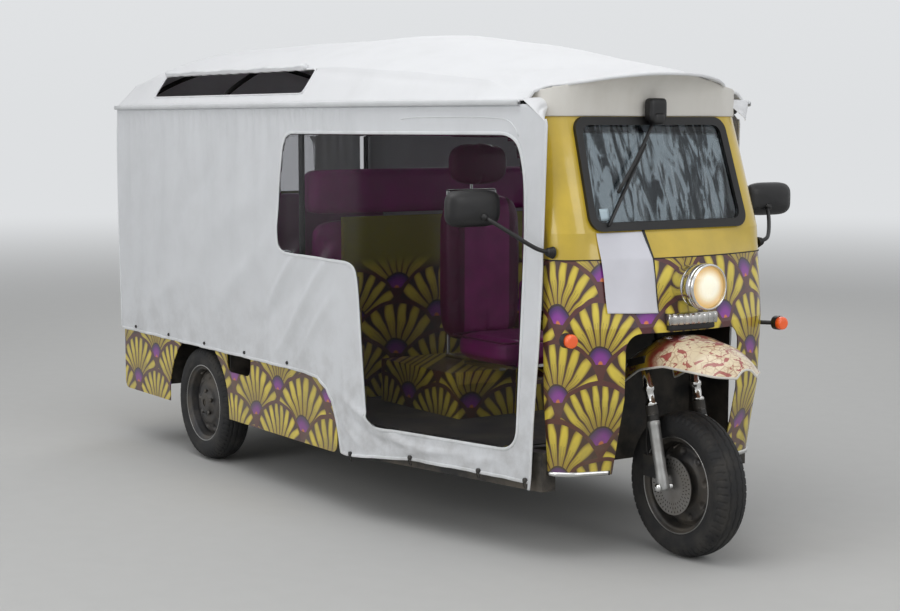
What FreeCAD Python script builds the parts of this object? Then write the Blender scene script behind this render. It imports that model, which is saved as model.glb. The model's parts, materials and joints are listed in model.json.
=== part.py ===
import FreeCAD, Part
import math
import os

# Three-wheeled passenger taxi. X points forward, Y to the vehicle's left, Z up, millimetres.
# The origin lies on the ground in the middle of the overall length and width.

V = FreeCAD.Vector

# Overall
front_tip_x = 1970.0
rear_tip_x = -1970.0
clearance = 0.3
sheet = 4.0

# Wheels
wheel_radius = 270.0
tyre_width = 136.0
rim_lip_radius = 180.0
rim_width = 116.0
tyre_crown = 12.0
front_axle_x = 1665.0
rear_axle_x = -1015.0
hub_radius = 46.0
axle_radius = 9.0
stub_radius = 16.0
hub_fit = 0.05

# Steering
rake_deg = 14.5
steer_setback = 38.0
leg_spacing_half = 115.0
leg_radius = 24.0
stanchion_radius = 17.0
leg_length = 265.0
yoke_height = 715.0
yoke_thick = 26.0
stem_radius = 16.0
head_tube_radius = 30.0
bar_height = 1012.0
head_tube_top = bar_height - 27.0
head_tube_bottom = head_tube_top - 100.0
bar_radius = 12.0
bar_half = 340.0
bar_sweep = 120.0
grip_radius = 17.0
grip_length = 120.0

# Body heights above the ground
sill_low = 240.0
floor_top = 400.0
floor_thick = 3.0
nose_low = 316.0
belt = bar_height + 93.0
screen_low = belt + 100.0
screen_base_x = 1550.0
screen_base_z = screen_low - 5.0
screen_lean_deg = 18.2
rail_height = 1676.0
surround_top = rail_height - 44.0
screen_high = surround_top - 17.0
crown_rise = 294.0
crown = rail_height + crown_rise
tub_top = 1020.0

# Body widths, each a half
nose_half = 500.0
tub_half = 704.0
rear_track_half = tub_half - 82.0
curtain_half = tub_half + 16.0
curtain_front_half = nose_half + 22.0
well_half = 270.0
well_top = head_tube_bottom - 47.0

# Body stations along X
curtain_front_x = 1465.0
curtain_wide_x = 525.0
curtain_rear_x = -1876.0
nose_rear_x = 1440.0
tub_front_x = 300.0
tub_rear_x = -1880.0
bulkhead_x = -45.0
bulkhead_top = 1190.0
seat_box_front_x = 670.0
doorway_front_x = -450.0
doorway_rear_x = -700.0

# Chassis
rail_half = tub_half * 5.0 / 11.0
rail_wide = 40.0
rail_tall = 60.0
rail_front_x = 1325.0
axle_tube_radius = 38.0
drum_radius = 118.0
spring_half = rail_half + 80.0
spring_wide = 55.0
spring_reach = 440.0
arch_gap = 52.0
bumper_radius = 22.0
tow_plate = 12.0
tow_hole_radius = 13.0
outrigger_stations = (1285.0, 700.0, bulkhead_x, -500.0, -1560.0, -1800.0)
sill_outer = 24.0
sill_inner = 84.0

# Seats
cushion_bottom = 610.0
cushion_top = 715.0
bench_half = tub_half - 94.0
bench_back_x = -1530.0
bench_front_x = -915.0
bench_facing_x = -495.0
bench_setback = 20.0
board_thick = 12.0
driver_half = 210.0
driver_front_x = 790.0
driver_rear_x = 375.0
back_low = 650.0
back_high = 1300.0
head_low = 1325.0
head_high = 1510.0
head_half = 150.0
seat_back_x = 243.0
seat_tube_radius = 10.0
pad_top = 1408.0
bench_back_top = 1245.0

# Engine
engine_front_x = 590.0
engine_rear_x = 150.0
engine_half = 165.0
engine_low = 270.0
silencer_y = 190.0
silencer_radius = 52.0
silencer_front_x = -60.0
silencer_rear_x = -560.0

# Windscreen
window_low_half = 376.0
window_high_half = 360.0
window_corner = 52.0
glass_corner = 34.0
gasket_wide = 30.0

# Roof
roof_wall = 12.0
curtain_sheet = 4.0
tube_radius = 14.0
post_radius = 13.0
bow_radius = 11.0
bow_stations = (1300.0, 640.0, -30.0, -870.0, -1780.0)
post_x_middle = -30.0
post_x_rear = -1780.0
rail_inset = 20.0
post_lean = 22.0
bow_drop = 34.0

rake = math.radians(rake_deg)
screen_lean = math.tan(math.radians(screen_lean_deg))
roof_tube_height = rail_height - 36.0


def box(x0, x1, y0, y1, z0, z1):
    """A block between two corners."""
    return Part.makeBox(x1 - x0, y1 - y0, z1 - z0, V(x0, y0, z0))


def rod(a, b, radius):
    """A round bar from point a to point b."""
    a = V(*a)
    b = V(*b)
    return Part.makeCylinder(radius, (b - a).Length, a, b - a)


def bent_rod(points, radius):
    """Round bars from point to point with a ball at each bend, as one solid."""
    solid = rod(points[0], points[1], radius)
    for i in range(1, len(points) - 1):
        ball = Part.makeSphere(radius, V(*points[i]))
        solid = solid.fuse([ball, rod(points[i], points[i + 1], radius)])
    return solid.removeSplitter()


def across(shape):
    """The same shape on the other side of the vehicle."""
    return shape.mirror(V(0, 0, 0), V(0, 1, 0))


def both(shape):
    """A shape and its twin on the other side, as separate solids."""
    return Part.makeCompound([shape, across(shape)])


def side_prism(points, y0, y1, corner=0.0):
    """An outline of (x, z) points, with rounded corners, carried from y0 to y1."""
    wire = rounded_wire([V(x, y0, z) for x, z in points], corner)
    return Part.Face(wire).extrude(V(0, y1 - y0, 0))


def front_prism(points, x0, x1, corner=0.0):
    """An outline of (y, z) points, with rounded corners, carried from x0 to x1."""
    wire = rounded_wire([V(x0, y, z) for y, z in points], corner)
    return Part.Face(wire).extrude(V(x1 - x0, 0, 0))


def plan_prism(points, z0, z1, corner=0.0):
    """An outline of (x, y) points, with rounded corners, carried from z0 to z1."""
    wire = rounded_wire([V(x, y, z0) for x, y in points], corner)
    return Part.Face(wire).extrude(V(0, 0, z1 - z0))


def rounded_wire(points, corner):
    """A closed outline through the points. Each corner gets an arc tangent to its two sides."""
    count = len(points)
    if corner <= 0.0:
        return Part.makePolygon(points + [points[0]])
    starts = []
    ends = []
    middles = []
    for i in range(count):
        here = points[i]
        back = (points[i - 1] - here)
        on = (points[(i + 1) % count] - here)
        room = min(back.Length, on.Length) * 0.49
        back.normalize()
        on.normalize()
        half = math.acos(max(-1.0, min(1.0, back.dot(on)))) / 2
        cut = min(corner / math.tan(half), room)
        radius = cut * math.tan(half)
        inward = (back + on).normalize()
        middles.append(here + inward * (radius / math.sin(half) - radius))
        starts.append(here + back * cut)
        ends.append(here + on * cut)
    edges = []
    for i in range(count):
        edges.append(Part.Arc(starts[i], middles[i], ends[i]).toShape())
        edges.append(Part.LineSegment(ends[i], starts[(i + 1) % count]).toShape())
    return Part.Wire(edges)


def hollow(outer, inner):
    """An outer solid with an inner one taken out."""
    return outer.cut(inner)


def arched_wire(x, half, edge, inset, shoulder, top):
    """A cross-section at one station: short sides that lean in, and an arc over the top."""
    a = V(x, -half, edge)
    b = V(x, -half + inset, shoulder)
    c = V(x, half - inset, shoulder)
    d = V(x, half, edge)
    return Part.Wire([
        Part.LineSegment(a, b).toShape(),
        Part.Arc(b, V(x, 0, top), c).toShape(),
        Part.LineSegment(c, d).toShape(),
        Part.LineSegment(d, a).toShape(),
    ])


def curtain_line(offset):
    """Plan points of the right-hand curtain plane, moved outwards by offset."""
    return [
        (curtain_front_x, -curtain_front_half - offset),
        (curtain_wide_x, -curtain_half - offset),
        (curtain_rear_x, -curtain_half - offset),
    ]


def curtain_half_at(x):
    """Half-width of the curtain plane at a station."""
    if x <= curtain_wide_x:
        return curtain_half
    share = (x - curtain_wide_x) / (curtain_front_x - curtain_wide_x)
    return curtain_half + share * (curtain_front_half - curtain_half)


def plan_strip(inner, outer, z0, z1):
    """A wall that follows the curtain plane in plan, between two offsets and two heights."""
    near = curtain_line(inner)
    far = curtain_line(outer)
    return plan_prism(near + far[::-1], z0, z1)


def along_axis(height, y=0.0, lead=0.0):
    """A point on the steering axis at a height, moved sideways by y and ahead by lead."""
    x = front_axle_x - steer_setback + lead
    return (x - (height - wheel_radius) * math.tan(rake), y, height)


def nose_outline(z, rear, side_x, corner_x, corner_y, front_x, half, inset):
    """Plan section of the nose: straight sides, round corners and a bowed front."""
    h = half - inset
    cy = corner_y - inset * 0.6
    cx = corner_x - inset
    sx = side_x - inset * 0.3
    mx = sx + (cx - sx) * 0.66
    my = h - (h - cy) * 0.36
    fx = front_x - inset
    points = [V(rear, -h, z), V(sx, -h, z), V(cx, -cy, z), V(cx, cy, z), V(sx, h, z), V(rear, h, z)]
    return Part.Wire([
        Part.LineSegment(points[0], points[1]).toShape(),
        Part.Arc(points[1], V(mx, -my, z), points[2]).toShape(),
        Part.Arc(points[2], V(fx, 0, z), points[3]).toShape(),
        Part.Arc(points[3], V(mx, my, z), points[4]).toShape(),
        Part.LineSegment(points[4], points[5]).toShape(),
        Part.LineSegment(points[5], points[0]).toShape(),
    ])


def screen_front_x(z):
    """Where the flat front of the screen surround lies at a height."""
    return screen_base_x - (z - screen_base_z) * screen_lean


# Plan sections of the nose: height, side end x, corner x, corner y, front x, half-width
nose_sections = (
    (nose_low, 1452.0, 1528.0, 372.0, 1590.0, nose_half - 26.0),
    (nose_low + 284.0, 1462.0, 1580.0, 395.0, 1662.0, nose_half - 6.0),
    (belt - 245.0, 1472.0, 1588.0, 400.0, 1668.0, nose_half),
    (belt, 1470.0, 1556.0, 402.0, 1624.0, nose_half - 2.0),
)

# Plan sections of the screen surround: height, rear x, side end x, corner x, corner y, front x, half-width
surround_sections = (
    (belt, nose_rear_x, 1470.0, 1556.0, 402.0, 1624.0, nose_half - 2.0),
    (screen_base_z, 1410.0, 1458.0, screen_base_x, 398.0, screen_base_x + 10.0, nose_half - 2.0),
    (surround_top, 1280.0, 1320.0, screen_front_x(surround_top), 378.0, screen_front_x(surround_top) + 8.0,
     nose_half - 14.0),
)


def nose_solid(inset):
    """The nose as a filled form, its walls moved in by inset."""
    wires = []
    reach = 30.0 if inset > 0 else 0.0
    for z, side_x, corner_x, corner_y, front_x, half in nose_sections:
        wires.append(nose_outline(z, nose_rear_x - reach, side_x, corner_x, corner_y, front_x, half, inset))
    return Part.makeLoft(wires, True, True)


def surround_solid(inset):
    """The screen surround as a filled form, its walls moved in by inset."""
    wires = []
    reach = 30.0 if inset > 0 else 0.0
    for z, rear, side_x, corner_x, corner_y, front_x, half in surround_sections:
        wires.append(nose_outline(z, rear - reach, side_x, corner_x, corner_y, front_x, half, inset))
    return Part.makeLoft(wires, True, True)


def well_cutter():
    """The space in the nose for the front wheel, open to the front."""
    low = nose_low - 40.0
    points = [(-well_half, low), (well_half, low), (well_half, well_top), (-well_half, well_top)]
    return front_prism(points, nose_rear_x + 30.0, front_axle_x + 60.0, 60.0).fuse(
        box(nose_rear_x + 30.0, front_axle_x + 60.0, -well_half, well_half, low - 60.0, low + 140.0))


def nose_shell():
    """Lower cowl in sheet steel with the wheel opening."""
    shell = hollow(nose_solid(0.0), nose_solid(sheet))
    return shell.cut(well_cutter())


def screen_slab(back, front):
    """A slab parallel to the windscreen, between two distances from the surround's face."""
    z0 = belt - 50.0
    z1 = surround_top + 80.0
    points = [
        (screen_front_x(z0) + back, z0),
        (screen_front_x(z0) + front, z0),
        (screen_front_x(z1) + front, z1),
        (screen_front_x(z1) + back, z1),
    ]
    return side_prism(points, -nose_half, nose_half)


def screen_prism(inset, corner):
    """The windscreen outline seen from the front, moved in by inset, as a long prism."""
    low = screen_low + inset
    high = screen_high - inset
    wide = window_low_half - inset
    narrow = window_high_half - inset
    points = [(-wide, low), (wide, low), (narrow, high), (-narrow, high)]
    return front_prism(points, 1200.0, 1800.0, corner)


def screen_surround():
    """Upper cowl around the windscreen."""
    shell = hollow(surround_solid(0.0), surround_solid(sheet))
    return shell.cut(screen_prism(0.0, window_corner))


def windscreen_gasket():
    """Rubber frame that fills the window cut and holds the glass."""
    ring = hollow(screen_prism(0.0, window_corner), screen_prism(gasket_wide, glass_corner))
    return ring.common(screen_slab(-8.0, 16.0))


def windscreen_glass():
    """Flat laminated glass."""
    return screen_prism(gasket_wide, glass_corner).common(screen_slab(0.0, 5.0))


def wheel_liner():
    """Black inner arch around the front wheel."""
    back = rail_front_x + 20.0
    front = 1572.0
    low = nose_low
    outside = box(back, front, -well_half - 12.0, well_half + 12.0, low, well_top + 26.0)
    inside = box(back + sheet, front + 10.0, -well_half - 8.0, well_half + 8.0, low - 10.0, well_top + 22.0)
    hole = rod(along_axis(well_top - 60.0), along_axis(well_top + 120.0), head_tube_radius + 8.0)
    room = nose_solid(sheet).fuse(box(back - 10.0, nose_rear_x, -nose_half, nose_half, 0.0, belt))
    return outside.cut(inside).cut(hole).common(room)


def chassis_frame():
    """Ladder frame, gooseneck and steering head."""
    low = floor_top - floor_thick - rail_tall
    high = floor_top - floor_thick
    rear = tub_rear_x + sheet
    rail = box(rear, rail_front_x, rail_half - rail_wide, rail_half, low, high)
    parts = [across(rail)]
    for x in (rail_front_x - rail_wide, outrigger_stations[0], bulkhead_x, -620.0, -1420.0, rear):
        parts.append(box(x, x + rail_wide, -rail_half, rail_half, low, high))
    for x in outrigger_stations:
        reach = tub_half - sheet - clearance
        if x >= tub_front_x:
            reach = curtain_half_at(x + rail_wide) - sill_inner
        parts.append(box(x, x + rail_wide, -reach, reach, low + 20.0, high))
    neck = along_axis(head_tube_bottom + 60.0)
    for side in (-1.0, 1.0):
        foot = (rail_front_x - 18.0, side * 200.0, high - 15.0)
        knee = (rail_front_x - 18.0, side * 70.0, well_top + 52.0)
        parts.append(bent_rod([foot, knee, (neck[0], side * 12.0, neck[2])], 17.0))
    parts.append(rod(along_axis(head_tube_bottom), along_axis(head_tube_top), head_tube_radius))
    body = rail.fuse(parts)
    bore = rod(along_axis(head_tube_bottom - 60.0), along_axis(head_tube_top + 60.0), stem_radius + clearance)
    return body.cut(bore).cut(sills()).removeSplitter()


def floor_pan():
    """Flat floor, cut out for the front wheel, the engine and the rear wheels."""
    front = rail_front_x - rail_wide
    half_front = curtain_half_at(front) - 40.0
    half = tub_half - sheet - clearance
    points = [
        (front, -half_front), (curtain_wide_x, -half), (tub_rear_x + sheet, -half),
        (tub_rear_x + sheet, half), (curtain_wide_x, half), (front, half_front),
    ]
    pan = plan_prism(points, floor_top - floor_thick, floor_top)
    x0, x1, y0 = wheelhouse_box()
    for side in (-1.0, 1.0):
        edge = sorted((side * y0, side * (tub_half + 20.0)))
        pan = pan.cut(box(x0, x1, edge[0], edge[1], floor_top - 10.0, floor_top + 10.0))
    return pan.cut(box(120.0, seat_box_front_x - 40.0, -180.0, 180.0, floor_top - 10.0, floor_top + 10.0))


def wheelhouse_box():
    """Fore and aft ends and inner face of the rear wheel housing."""
    reach = wheel_radius + arch_gap + 10.0
    return rear_axle_x - reach, rear_axle_x + reach, rear_track_half - tyre_width / 2 - 30.0


def wheelhouses():
    """Sheet housings over the rear wheels, open below and outwards."""
    x0, x1, y0 = wheelhouse_box()
    top = wheel_radius * 2 + arch_gap
    out = tub_half - sheet - clearance
    outside = box(x0, x1, y0, out, floor_top - 80.0, top + 3.0)
    inside = box(x0 + 3.0, x1 - 3.0, y0 + 3.0, out + 5.0, floor_top - 90.0, top)
    return both(outside.cut(inside))


def sills():
    """Closed box sills under the doorways, from the nose to the tub."""
    outer = curtain_line(-sill_outer)
    inner = curtain_line(-sill_inner)
    stations = (nose_rear_x - 2.0, curtain_wide_x, tub_front_x + 2.0)
    front = list(zip(stations, (outer[0][1], outer[1][1], outer[1][1])))
    back = list(zip(stations, (inner[0][1], inner[1][1], inner[1][1])))
    sill = plan_prism(front + back[::-1], sill_low + 14.0, floor_top - floor_thick)
    return both(sill)


def tub_sides():
    """Patterned side panels of the passenger tub, with the wheel arch and the low doorway."""
    step_top = floor_top + 60.0
    points = [
        (tub_front_x, sill_low), (tub_rear_x, sill_low), (tub_rear_x, tub_top),
        (doorway_rear_x - 390.0, tub_top),
        (doorway_rear_x - 200.0, step_top + 240.0), (doorway_rear_x - 30.0, step_top + 230.0),
        (doorway_rear_x, step_top), (doorway_front_x - 30.0, step_top), (doorway_front_x, step_top + 240.0),
        (tub_front_x, step_top + 240.0),
    ]
    panel = side_prism(points, -tub_half, -tub_half + sheet, 40.0)
    arch = rod((rear_axle_x, -tub_half - 20.0, wheel_radius), (rear_axle_x, -tub_half + 20.0, wheel_radius),
               wheel_radius + arch_gap)
    below = box(rear_axle_x - wheel_radius - arch_gap, rear_axle_x + wheel_radius + arch_gap,
                -tub_half - 20.0, -tub_half + 20.0, 0.0, wheel_radius)
    return both(panel.cut(arch).cut(below))


def rear_panel():
    """Patterned panel that closes the tub behind."""
    half = tub_half - sheet
    points = [(-half, sill_low), (half, sill_low), (half, tub_top), (-half, tub_top)]
    return front_prism(points, tub_rear_x, tub_rear_x + sheet, 30.0)


def seat_box():
    """Box under the driver's seat, around the engine."""
    points = [
        (seat_box_front_x, floor_top), (seat_box_front_x, cushion_bottom - 70.0),
        (seat_box_front_x - 60.0, cushion_bottom - 30.0), (70.0, cushion_bottom - 30.0), (70.0, floor_top),
    ]
    outside = side_prism(points, -350.0, 350.0)
    inside = box(76.0, seat_box_front_x - 70.0, -344.0, 344.0, floor_top - 10.0, cushion_bottom - 36.0)
    return outside.cut(inside)


def seat_frame():
    """Runners and back tubes of the driver's seat."""
    low = cushion_bottom - 30.0
    tube_z = cushion_bottom - seat_tube_radius - 2.0
    base = box(400.0, 760.0, -150.0, 150.0, cushion_bottom - 12.0, cushion_bottom)
    parts = []
    for y in (-140.0, 110.0):
        parts.append(box(400.0, 660.0, y, y + 30.0, low, cushion_bottom - 6.0))
    loop = [
        (420.0, -120.0, tube_z), (seat_back_x, -120.0, tube_z), (seat_back_x, -120.0, back_high),
        (seat_back_x, 120.0, back_high), (seat_back_x, 120.0, tube_z), (420.0, 120.0, tube_z),
    ]
    parts.append(bent_rod(loop, seat_tube_radius))
    stem_top = (seat_back_x, 0.0, head_high - 50.0)
    parts.append(rod((seat_back_x, 0.0, back_high), stem_top, seat_tube_radius - 2.0))
    return base.fuse(parts)


def driver_cushion():
    """Driver's seat cushion."""
    points = [
        (driver_rear_x, -driver_half), (driver_front_x, -driver_half),
        (driver_front_x, driver_half), (driver_rear_x, driver_half),
    ]
    return plan_prism(points, cushion_bottom + clearance, cushion_top, 60.0)


def driver_backrest():
    """Driver's back cushion and, apart from it, the oval headrest."""
    narrow = driver_half - 30.0
    points = [(-driver_half, back_low), (driver_half, back_low), (narrow, back_high), (-narrow, back_high)]
    face = seat_back_x + seat_tube_radius + clearance
    back = front_prism(points, face, face + 110.0, 70.0)
    rest = face - 2.0
    outline = [(-head_half, head_low), (head_half, head_low), (head_half, head_high), (-head_half, head_high)]
    head = front_prism(outline, rest, rest + 84.0, 85.0)
    return Part.makeCompound([back, head])


def bulkhead():
    """Upright panel between the driver and the passengers."""
    half = bench_half - 130.0
    points = [(-half, floor_top), (half, floor_top), (half, bulkhead_top), (-half, bulkhead_top)]
    return front_prism(points, bulkhead_x, bulkhead_x + 20.0)


def bulkhead_pad():
    """Padded band on top of the bulkhead, between the middle posts."""
    half = curtain_half - rail_inset - post_lean - tube_radius - clearance
    low = bulkhead_top + clearance
    points = [(-half, low), (half, low), (half, pad_top), (-half, pad_top)]
    return front_prism(points, bulkhead_x - 42.0, bulkhead_x + 34.0, 30.0)


def bench_bases():
    """Boxes that carry the two passenger benches."""
    wall = board_thick
    deck = cushion_bottom - wall
    low = floor_top - 1.0
    within = bench_half - wall
    face = bench_facing_x + 15.0
    front = box(face, bulkhead_x - clearance, -bench_half, bench_half, floor_top, cushion_bottom)
    front = front.cut(box(face + wall, bulkhead_x - wall, -within, within, low, deck))
    inner = wheelhouse_box()[2] - 5.0
    toe = bench_front_x - bench_setback
    heel = bench_back_x - bench_setback
    seat = box(heel, toe, -inner, inner, floor_top, cushion_bottom)
    seat = seat.cut(box(heel + wall, toe - wall, -inner + wall, inner - wall, low, deck))
    shelf_low = wheel_radius * 2 + arch_gap + 3.0 + clearance
    shelf = box(bench_back_x + 100.0, toe, -bench_half, bench_half, shelf_low, cushion_bottom)
    board = box(heel, bench_back_x - clearance, -bench_half, bench_half, cushion_bottom, bench_back_top - 5.0)
    return Part.makeCompound([front, seat.fuse([shelf, board])])


def bench_cushions():
    """Cushions of the rear-facing and the forward-facing bench."""
    cushions = []
    for x0, x1 in ((bench_facing_x, bulkhead_x - 75.0), (bench_back_x + 105.0, bench_front_x)):
        points = [(x0, -bench_half), (x1, -bench_half), (x1, bench_half), (x0, bench_half)]
        cushions.append(plan_prism(points, cushion_bottom + clearance, cushion_top, 45.0))
    return Part.makeCompound(cushions)


def bench_backrests():
    """Back cushions of the two passenger benches."""
    backs = []
    low = cushion_top + 8.0
    facing = (bulkhead_x - 72.0, bulkhead_x - clearance, bulkhead_top)
    rear = (bench_back_x, bench_back_x + 100.0, bench_back_top)
    for x0, x1, top in (facing, rear):
        points = [(-bench_half, low), (bench_half, low), (bench_half, top), (-bench_half, top)]
        backs.append(front_prism(points, x0, x1, 40.0))
    return Part.makeCompound(backs)


def dashboard():
    """Instrument panel below the windscreen, with one round dial."""
    top = screen_low - 5.0
    points = [
        (1600.0, top - 4.0), (1600.0, top - 50.0), (1400.0, top - 72.0), (1375.0, top - 15.0), (1400.0, top),
    ]
    room = surround_solid(sheet).fuse(box(1300.0, 1480.0, -400.0, 400.0, belt, screen_low))
    panel = side_prism(points, -400.0, 400.0).common(room)
    dial = rod((1385.0, 0.0, top - 32.0), (1345.0, 0.0, top - 22.0), 48.0)
    return panel.fuse(dial)


def engine_block():
    """Engine and gearbox as one block."""
    return box(engine_rear_x, engine_front_x, -engine_half, engine_half, engine_low, cushion_bottom - 50.0)


def drive_shaft():
    """Shaft from the gearbox to the rear axle."""
    front = (engine_rear_x + 2.0, 0.0, engine_low + 30.0)
    shaft = rod(front, (rear_axle_x + 120.0, 0.0, wheel_radius + 5.0), 24.0)
    return shaft.cut(engine_block()).cut(rear_axle())


def rear_axle():
    """Axle tube with its central casing, brake drums' back plates and wheel stubs."""
    y = rear_track_half - 70.0
    tube = rod((rear_axle_x, -y, wheel_radius), (rear_axle_x, y, wheel_radius), axle_tube_radius)
    case = Part.makeSphere(118.0, V(rear_axle_x, 0, wheel_radius))
    snout = rod((rear_axle_x, 0, wheel_radius), (rear_axle_x + 131.0, 0.0, wheel_radius + 5.0), 42.0)
    stub = rod((rear_axle_x, -y - 118.0, wheel_radius), (rear_axle_x, y + 118.0, wheel_radius), stub_radius)
    parts = [case, snout, stub]
    for side in (-1.0, 1.0):
        inner = (rear_axle_x, side * (y - 20.0), wheel_radius)
        parts.append(rod(inner, (rear_axle_x, side * y, wheel_radius), drum_radius))
        mid = side * spring_half
        parts.append(box(rear_axle_x - 60.0, rear_axle_x + 60.0, mid - spring_wide / 2, mid + spring_wide / 2,
                         wheel_radius + 20.0, wheel_radius + axle_tube_radius + 4.0))
    return tube.fuse(parts)


def leaf_springs():
    """Leaf springs with their hangers, joined to the frame's rails."""
    seat = wheel_radius + axle_tube_radius + 4.0
    eye = floor_top - floor_thick - 28.0
    leaves = None
    for share, layer in ((1.0, 0), (0.72, 1), (0.46, 2)):
        reach = spring_reach * share
        rise = (eye - seat - 20.0) * share * share
        low = seat + (2 - layer) * 7.0 if layer else seat + 14.0
        a = V(rear_axle_x - reach, spring_half - spring_wide / 2, low + rise)
        b = V(rear_axle_x, spring_half - spring_wide / 2, low)
        c = V(rear_axle_x + reach, spring_half - spring_wide / 2, low + rise)
        up = V(0, 0, 7.0)
        wire = Part.Wire([
            Part.Arc(a, b, c).toShape(),
            Part.LineSegment(c, c + up).toShape(),
            Part.Arc(c + up, b + up, a + up).toShape(),
            Part.LineSegment(a + up, a).toShape(),
        ])
        leaf = Part.Face(wire).extrude(V(0, spring_wide, 0))
        leaves = leaf if leaves is None else leaves.fuse(leaf)
    parts = []
    for side in (-1.0, 1.0):
        x = rear_axle_x + side * spring_reach
        parts.append(rod((x, rail_half + clearance, eye), (x, spring_half + spring_wide / 2, eye), 15.0))
    return both(leaves.fuse(parts))


def exhaust():
    """Silencer and tail pipe under the floor, on the left."""
    z = floor_top - rail_tall - 62.0
    start = (silencer_front_x, silencer_y, z)
    end = (silencer_rear_x, silencer_y, z)
    can = rod(start, end, silencer_radius)
    pipe = bent_rod([(engine_rear_x + 15.0, 140.0, z), (60.0, silencer_y, z), start], 19.0)
    tail = bent_rod([end, (-640.0, silencer_y, z), (-660.0, 470.0, z)], 17.0)
    strap = box(-330.0, -290.0, silencer_y - 8.0, silencer_y + 8.0, z + silencer_radius - 4.0,
                floor_top - floor_thick)
    return can.fuse([pipe, tail, strap]).cut(engine_block())


def rear_bumper():
    """Bent tube across the back on two arms."""
    z = floor_top - 30.0
    x = rear_tip_x + bumper_radius
    end = tub_rear_x - bumper_radius - 2.0
    tube = bent_rod([(end, -620.0, z), (x, -560.0, z), (x, 560.0, z), (end, 620.0, z)], bumper_radius)
    arms = []
    for side in (-1.0, 1.0):
        y = side * (rail_half - rail_wide / 2)
        arms.append(box(x, tub_rear_x, y - 14.0, y + 14.0, z - 18.0, z + 18.0))
    eye = box(x - 16.0, x + 30.0, -tow_plate / 2, tow_plate / 2, z - 80.0, z)
    hole = rod((x + 7.0, -tow_plate, z - 54.0), (x + 7.0, tow_plate, z - 54.0), tow_hole_radius)
    return tube.fuse(arms + [eye]).cut(hole)


def tail_lamps():
    """Lamp blocks on the back panel."""
    lamp = front_prism([(520.0, 720.0), (640.0, 720.0), (640.0, 900.0), (520.0, 900.0)],
                       tub_rear_x - 42.0, tub_rear_x, 24.0)
    return both(lamp)


def number_plate():
    """Blank plate on the back panel."""
    return front_prism([(-170.0, 560.0), (170.0, 560.0), (170.0, 670.0), (-170.0, 670.0)],
                       tub_rear_x - 5.0, tub_rear_x, 10.0)


# Roof sections: station, reach past the curtain, edge above the rail, lean, and the shoulder's and the
# middle's shares of the crown's rise
roof_sections = (
    (1700.0, -17.0, 22.0, 26.0, 0.150, 0.286),
    (1430.0, -9.0, 0.0, 40.0, 0.156, 0.395),
    (1140.0, 8.0, 0.0, 62.0, 0.259, 0.558),
    (740.0, 9.0, 0.0, 84.0, 0.388, 0.779),
    (210.0, 15.0, 0.0, 100.0, 0.497, 1.0),
    (-1560.0, 15.0, 0.0, 100.0, 0.497, 1.0),
    (tub_rear_x - 10.0, -10.0, 0.0, 100.0, 0.340, 0.728),
)
lip_front_x = 1570.0
lip_side_x = 1365.0
lip_half = 420.0
vent_front_x = 40.0
vent_rear_x = -1450.0
vent_tall = 104.0
seam_gap = clearance


def roof_solid(inset):
    """The canopy as a filled form, its skin moved in by inset."""
    wires = []
    for i, (x, past, edge, lean, shoulder, rise) in enumerate(roof_sections):
        half = curtain_half_at(x) + past
        bend = rail_height + shoulder * crown_rise
        top = rail_height + rise * crown_rise
        drop = 30.0 if inset > 0 else 0.0
        if inset > 0 and i == 0:
            x = x + 20.0
        if inset > 0 and i == len(roof_sections) - 1:
            x = x - 20.0
        low = rail_height + edge - drop
        wires.append(arched_wire(x, half - inset, low, lean, bend - inset * 0.6, top - inset))
    return Part.makeLoft(wires, True, True)


def lip_prism():
    """Plan form of the roof: the peak over the windscreen ends in a bowed lip."""
    z = rail_height - 100.0
    out = curtain_half + 100.0
    a = V(lip_side_x, -out, z)
    b = V(lip_side_x, -lip_half, z)
    tip = V(lip_front_x, 0.0, z)
    c = V(lip_side_x, lip_half, z)
    d = V(lip_side_x, out, z)
    e = V(rear_tip_x, out, z)
    f = V(rear_tip_x, -out, z)
    wire = Part.Wire([
        Part.LineSegment(a, b).toShape(), Part.Arc(b, tip, c).toShape(), Part.LineSegment(c, d).toShape(),
        Part.LineSegment(d, e).toShape(), Part.LineSegment(e, f).toShape(), Part.LineSegment(f, a).toShape(),
    ])
    return Part.Face(wire).extrude(V(0, 0, crown - z + 100.0))


def band_form(low, front, inset):
    """Filled form of the canvas band above the windscreen."""
    wires = []
    half = nose_half - 14.0
    for z in (low, crown):
        wires.append(nose_outline(z, 1330.0 - inset, 1340.0, front - 8.0, 378.0, front, half, inset))
    return Part.makeLoft(wires, True, True)


def canopy_skin():
    """The whole canopy: a side vent in each flank and a band down to the windscreen."""
    skin = hollow(roof_solid(0.0), roof_solid(roof_wall)).common(lip_prism())
    out = curtain_half + 100.0
    low = rail_height + 36.0
    high = low + vent_tall
    points = [(vent_front_x, low), (vent_rear_x, low), (vent_rear_x, high), (vent_front_x, high)]
    skin = skin.cut(side_prism(points, -out, out, 12.0))
    front = screen_front_x(surround_top) + 6.0
    outer = band_form(surround_top, front, 0.0)
    inner = band_form(surround_top - 2.0, front, 6.0)
    beside = box(1200.0, 1500.0, -curtain_front_half, curtain_front_half, surround_top - 20.0,
                 rail_height + 24.0)
    band = outer.cut(inner).common(roof_solid(roof_wall * 0.5).fuse(beside))
    return skin.fuse(band)


def canopy_length(rear, front):
    """The part of the canopy between two stations, less half a seam's gap at each end."""
    out = curtain_half + 100.0
    room = box(rear + seam_gap / 2, front - seam_gap / 2, -out, out, surround_top - 60.0, crown + 20.0)
    return canopy_skin().common(room)


def roof_canvas():
    """Canopy from the peak to the third bow back, in lengths that meet over the bows."""
    stations = bow_stations[1:-1]
    lengths = [canopy_length(stations[0], lip_front_x + 60.0)]
    for front, rear in zip(stations, stations[1:]):
        lengths.append(canopy_length(rear, front))
    return Part.makeCompound([solid for length in lengths for solid in length.Solids])


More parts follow.
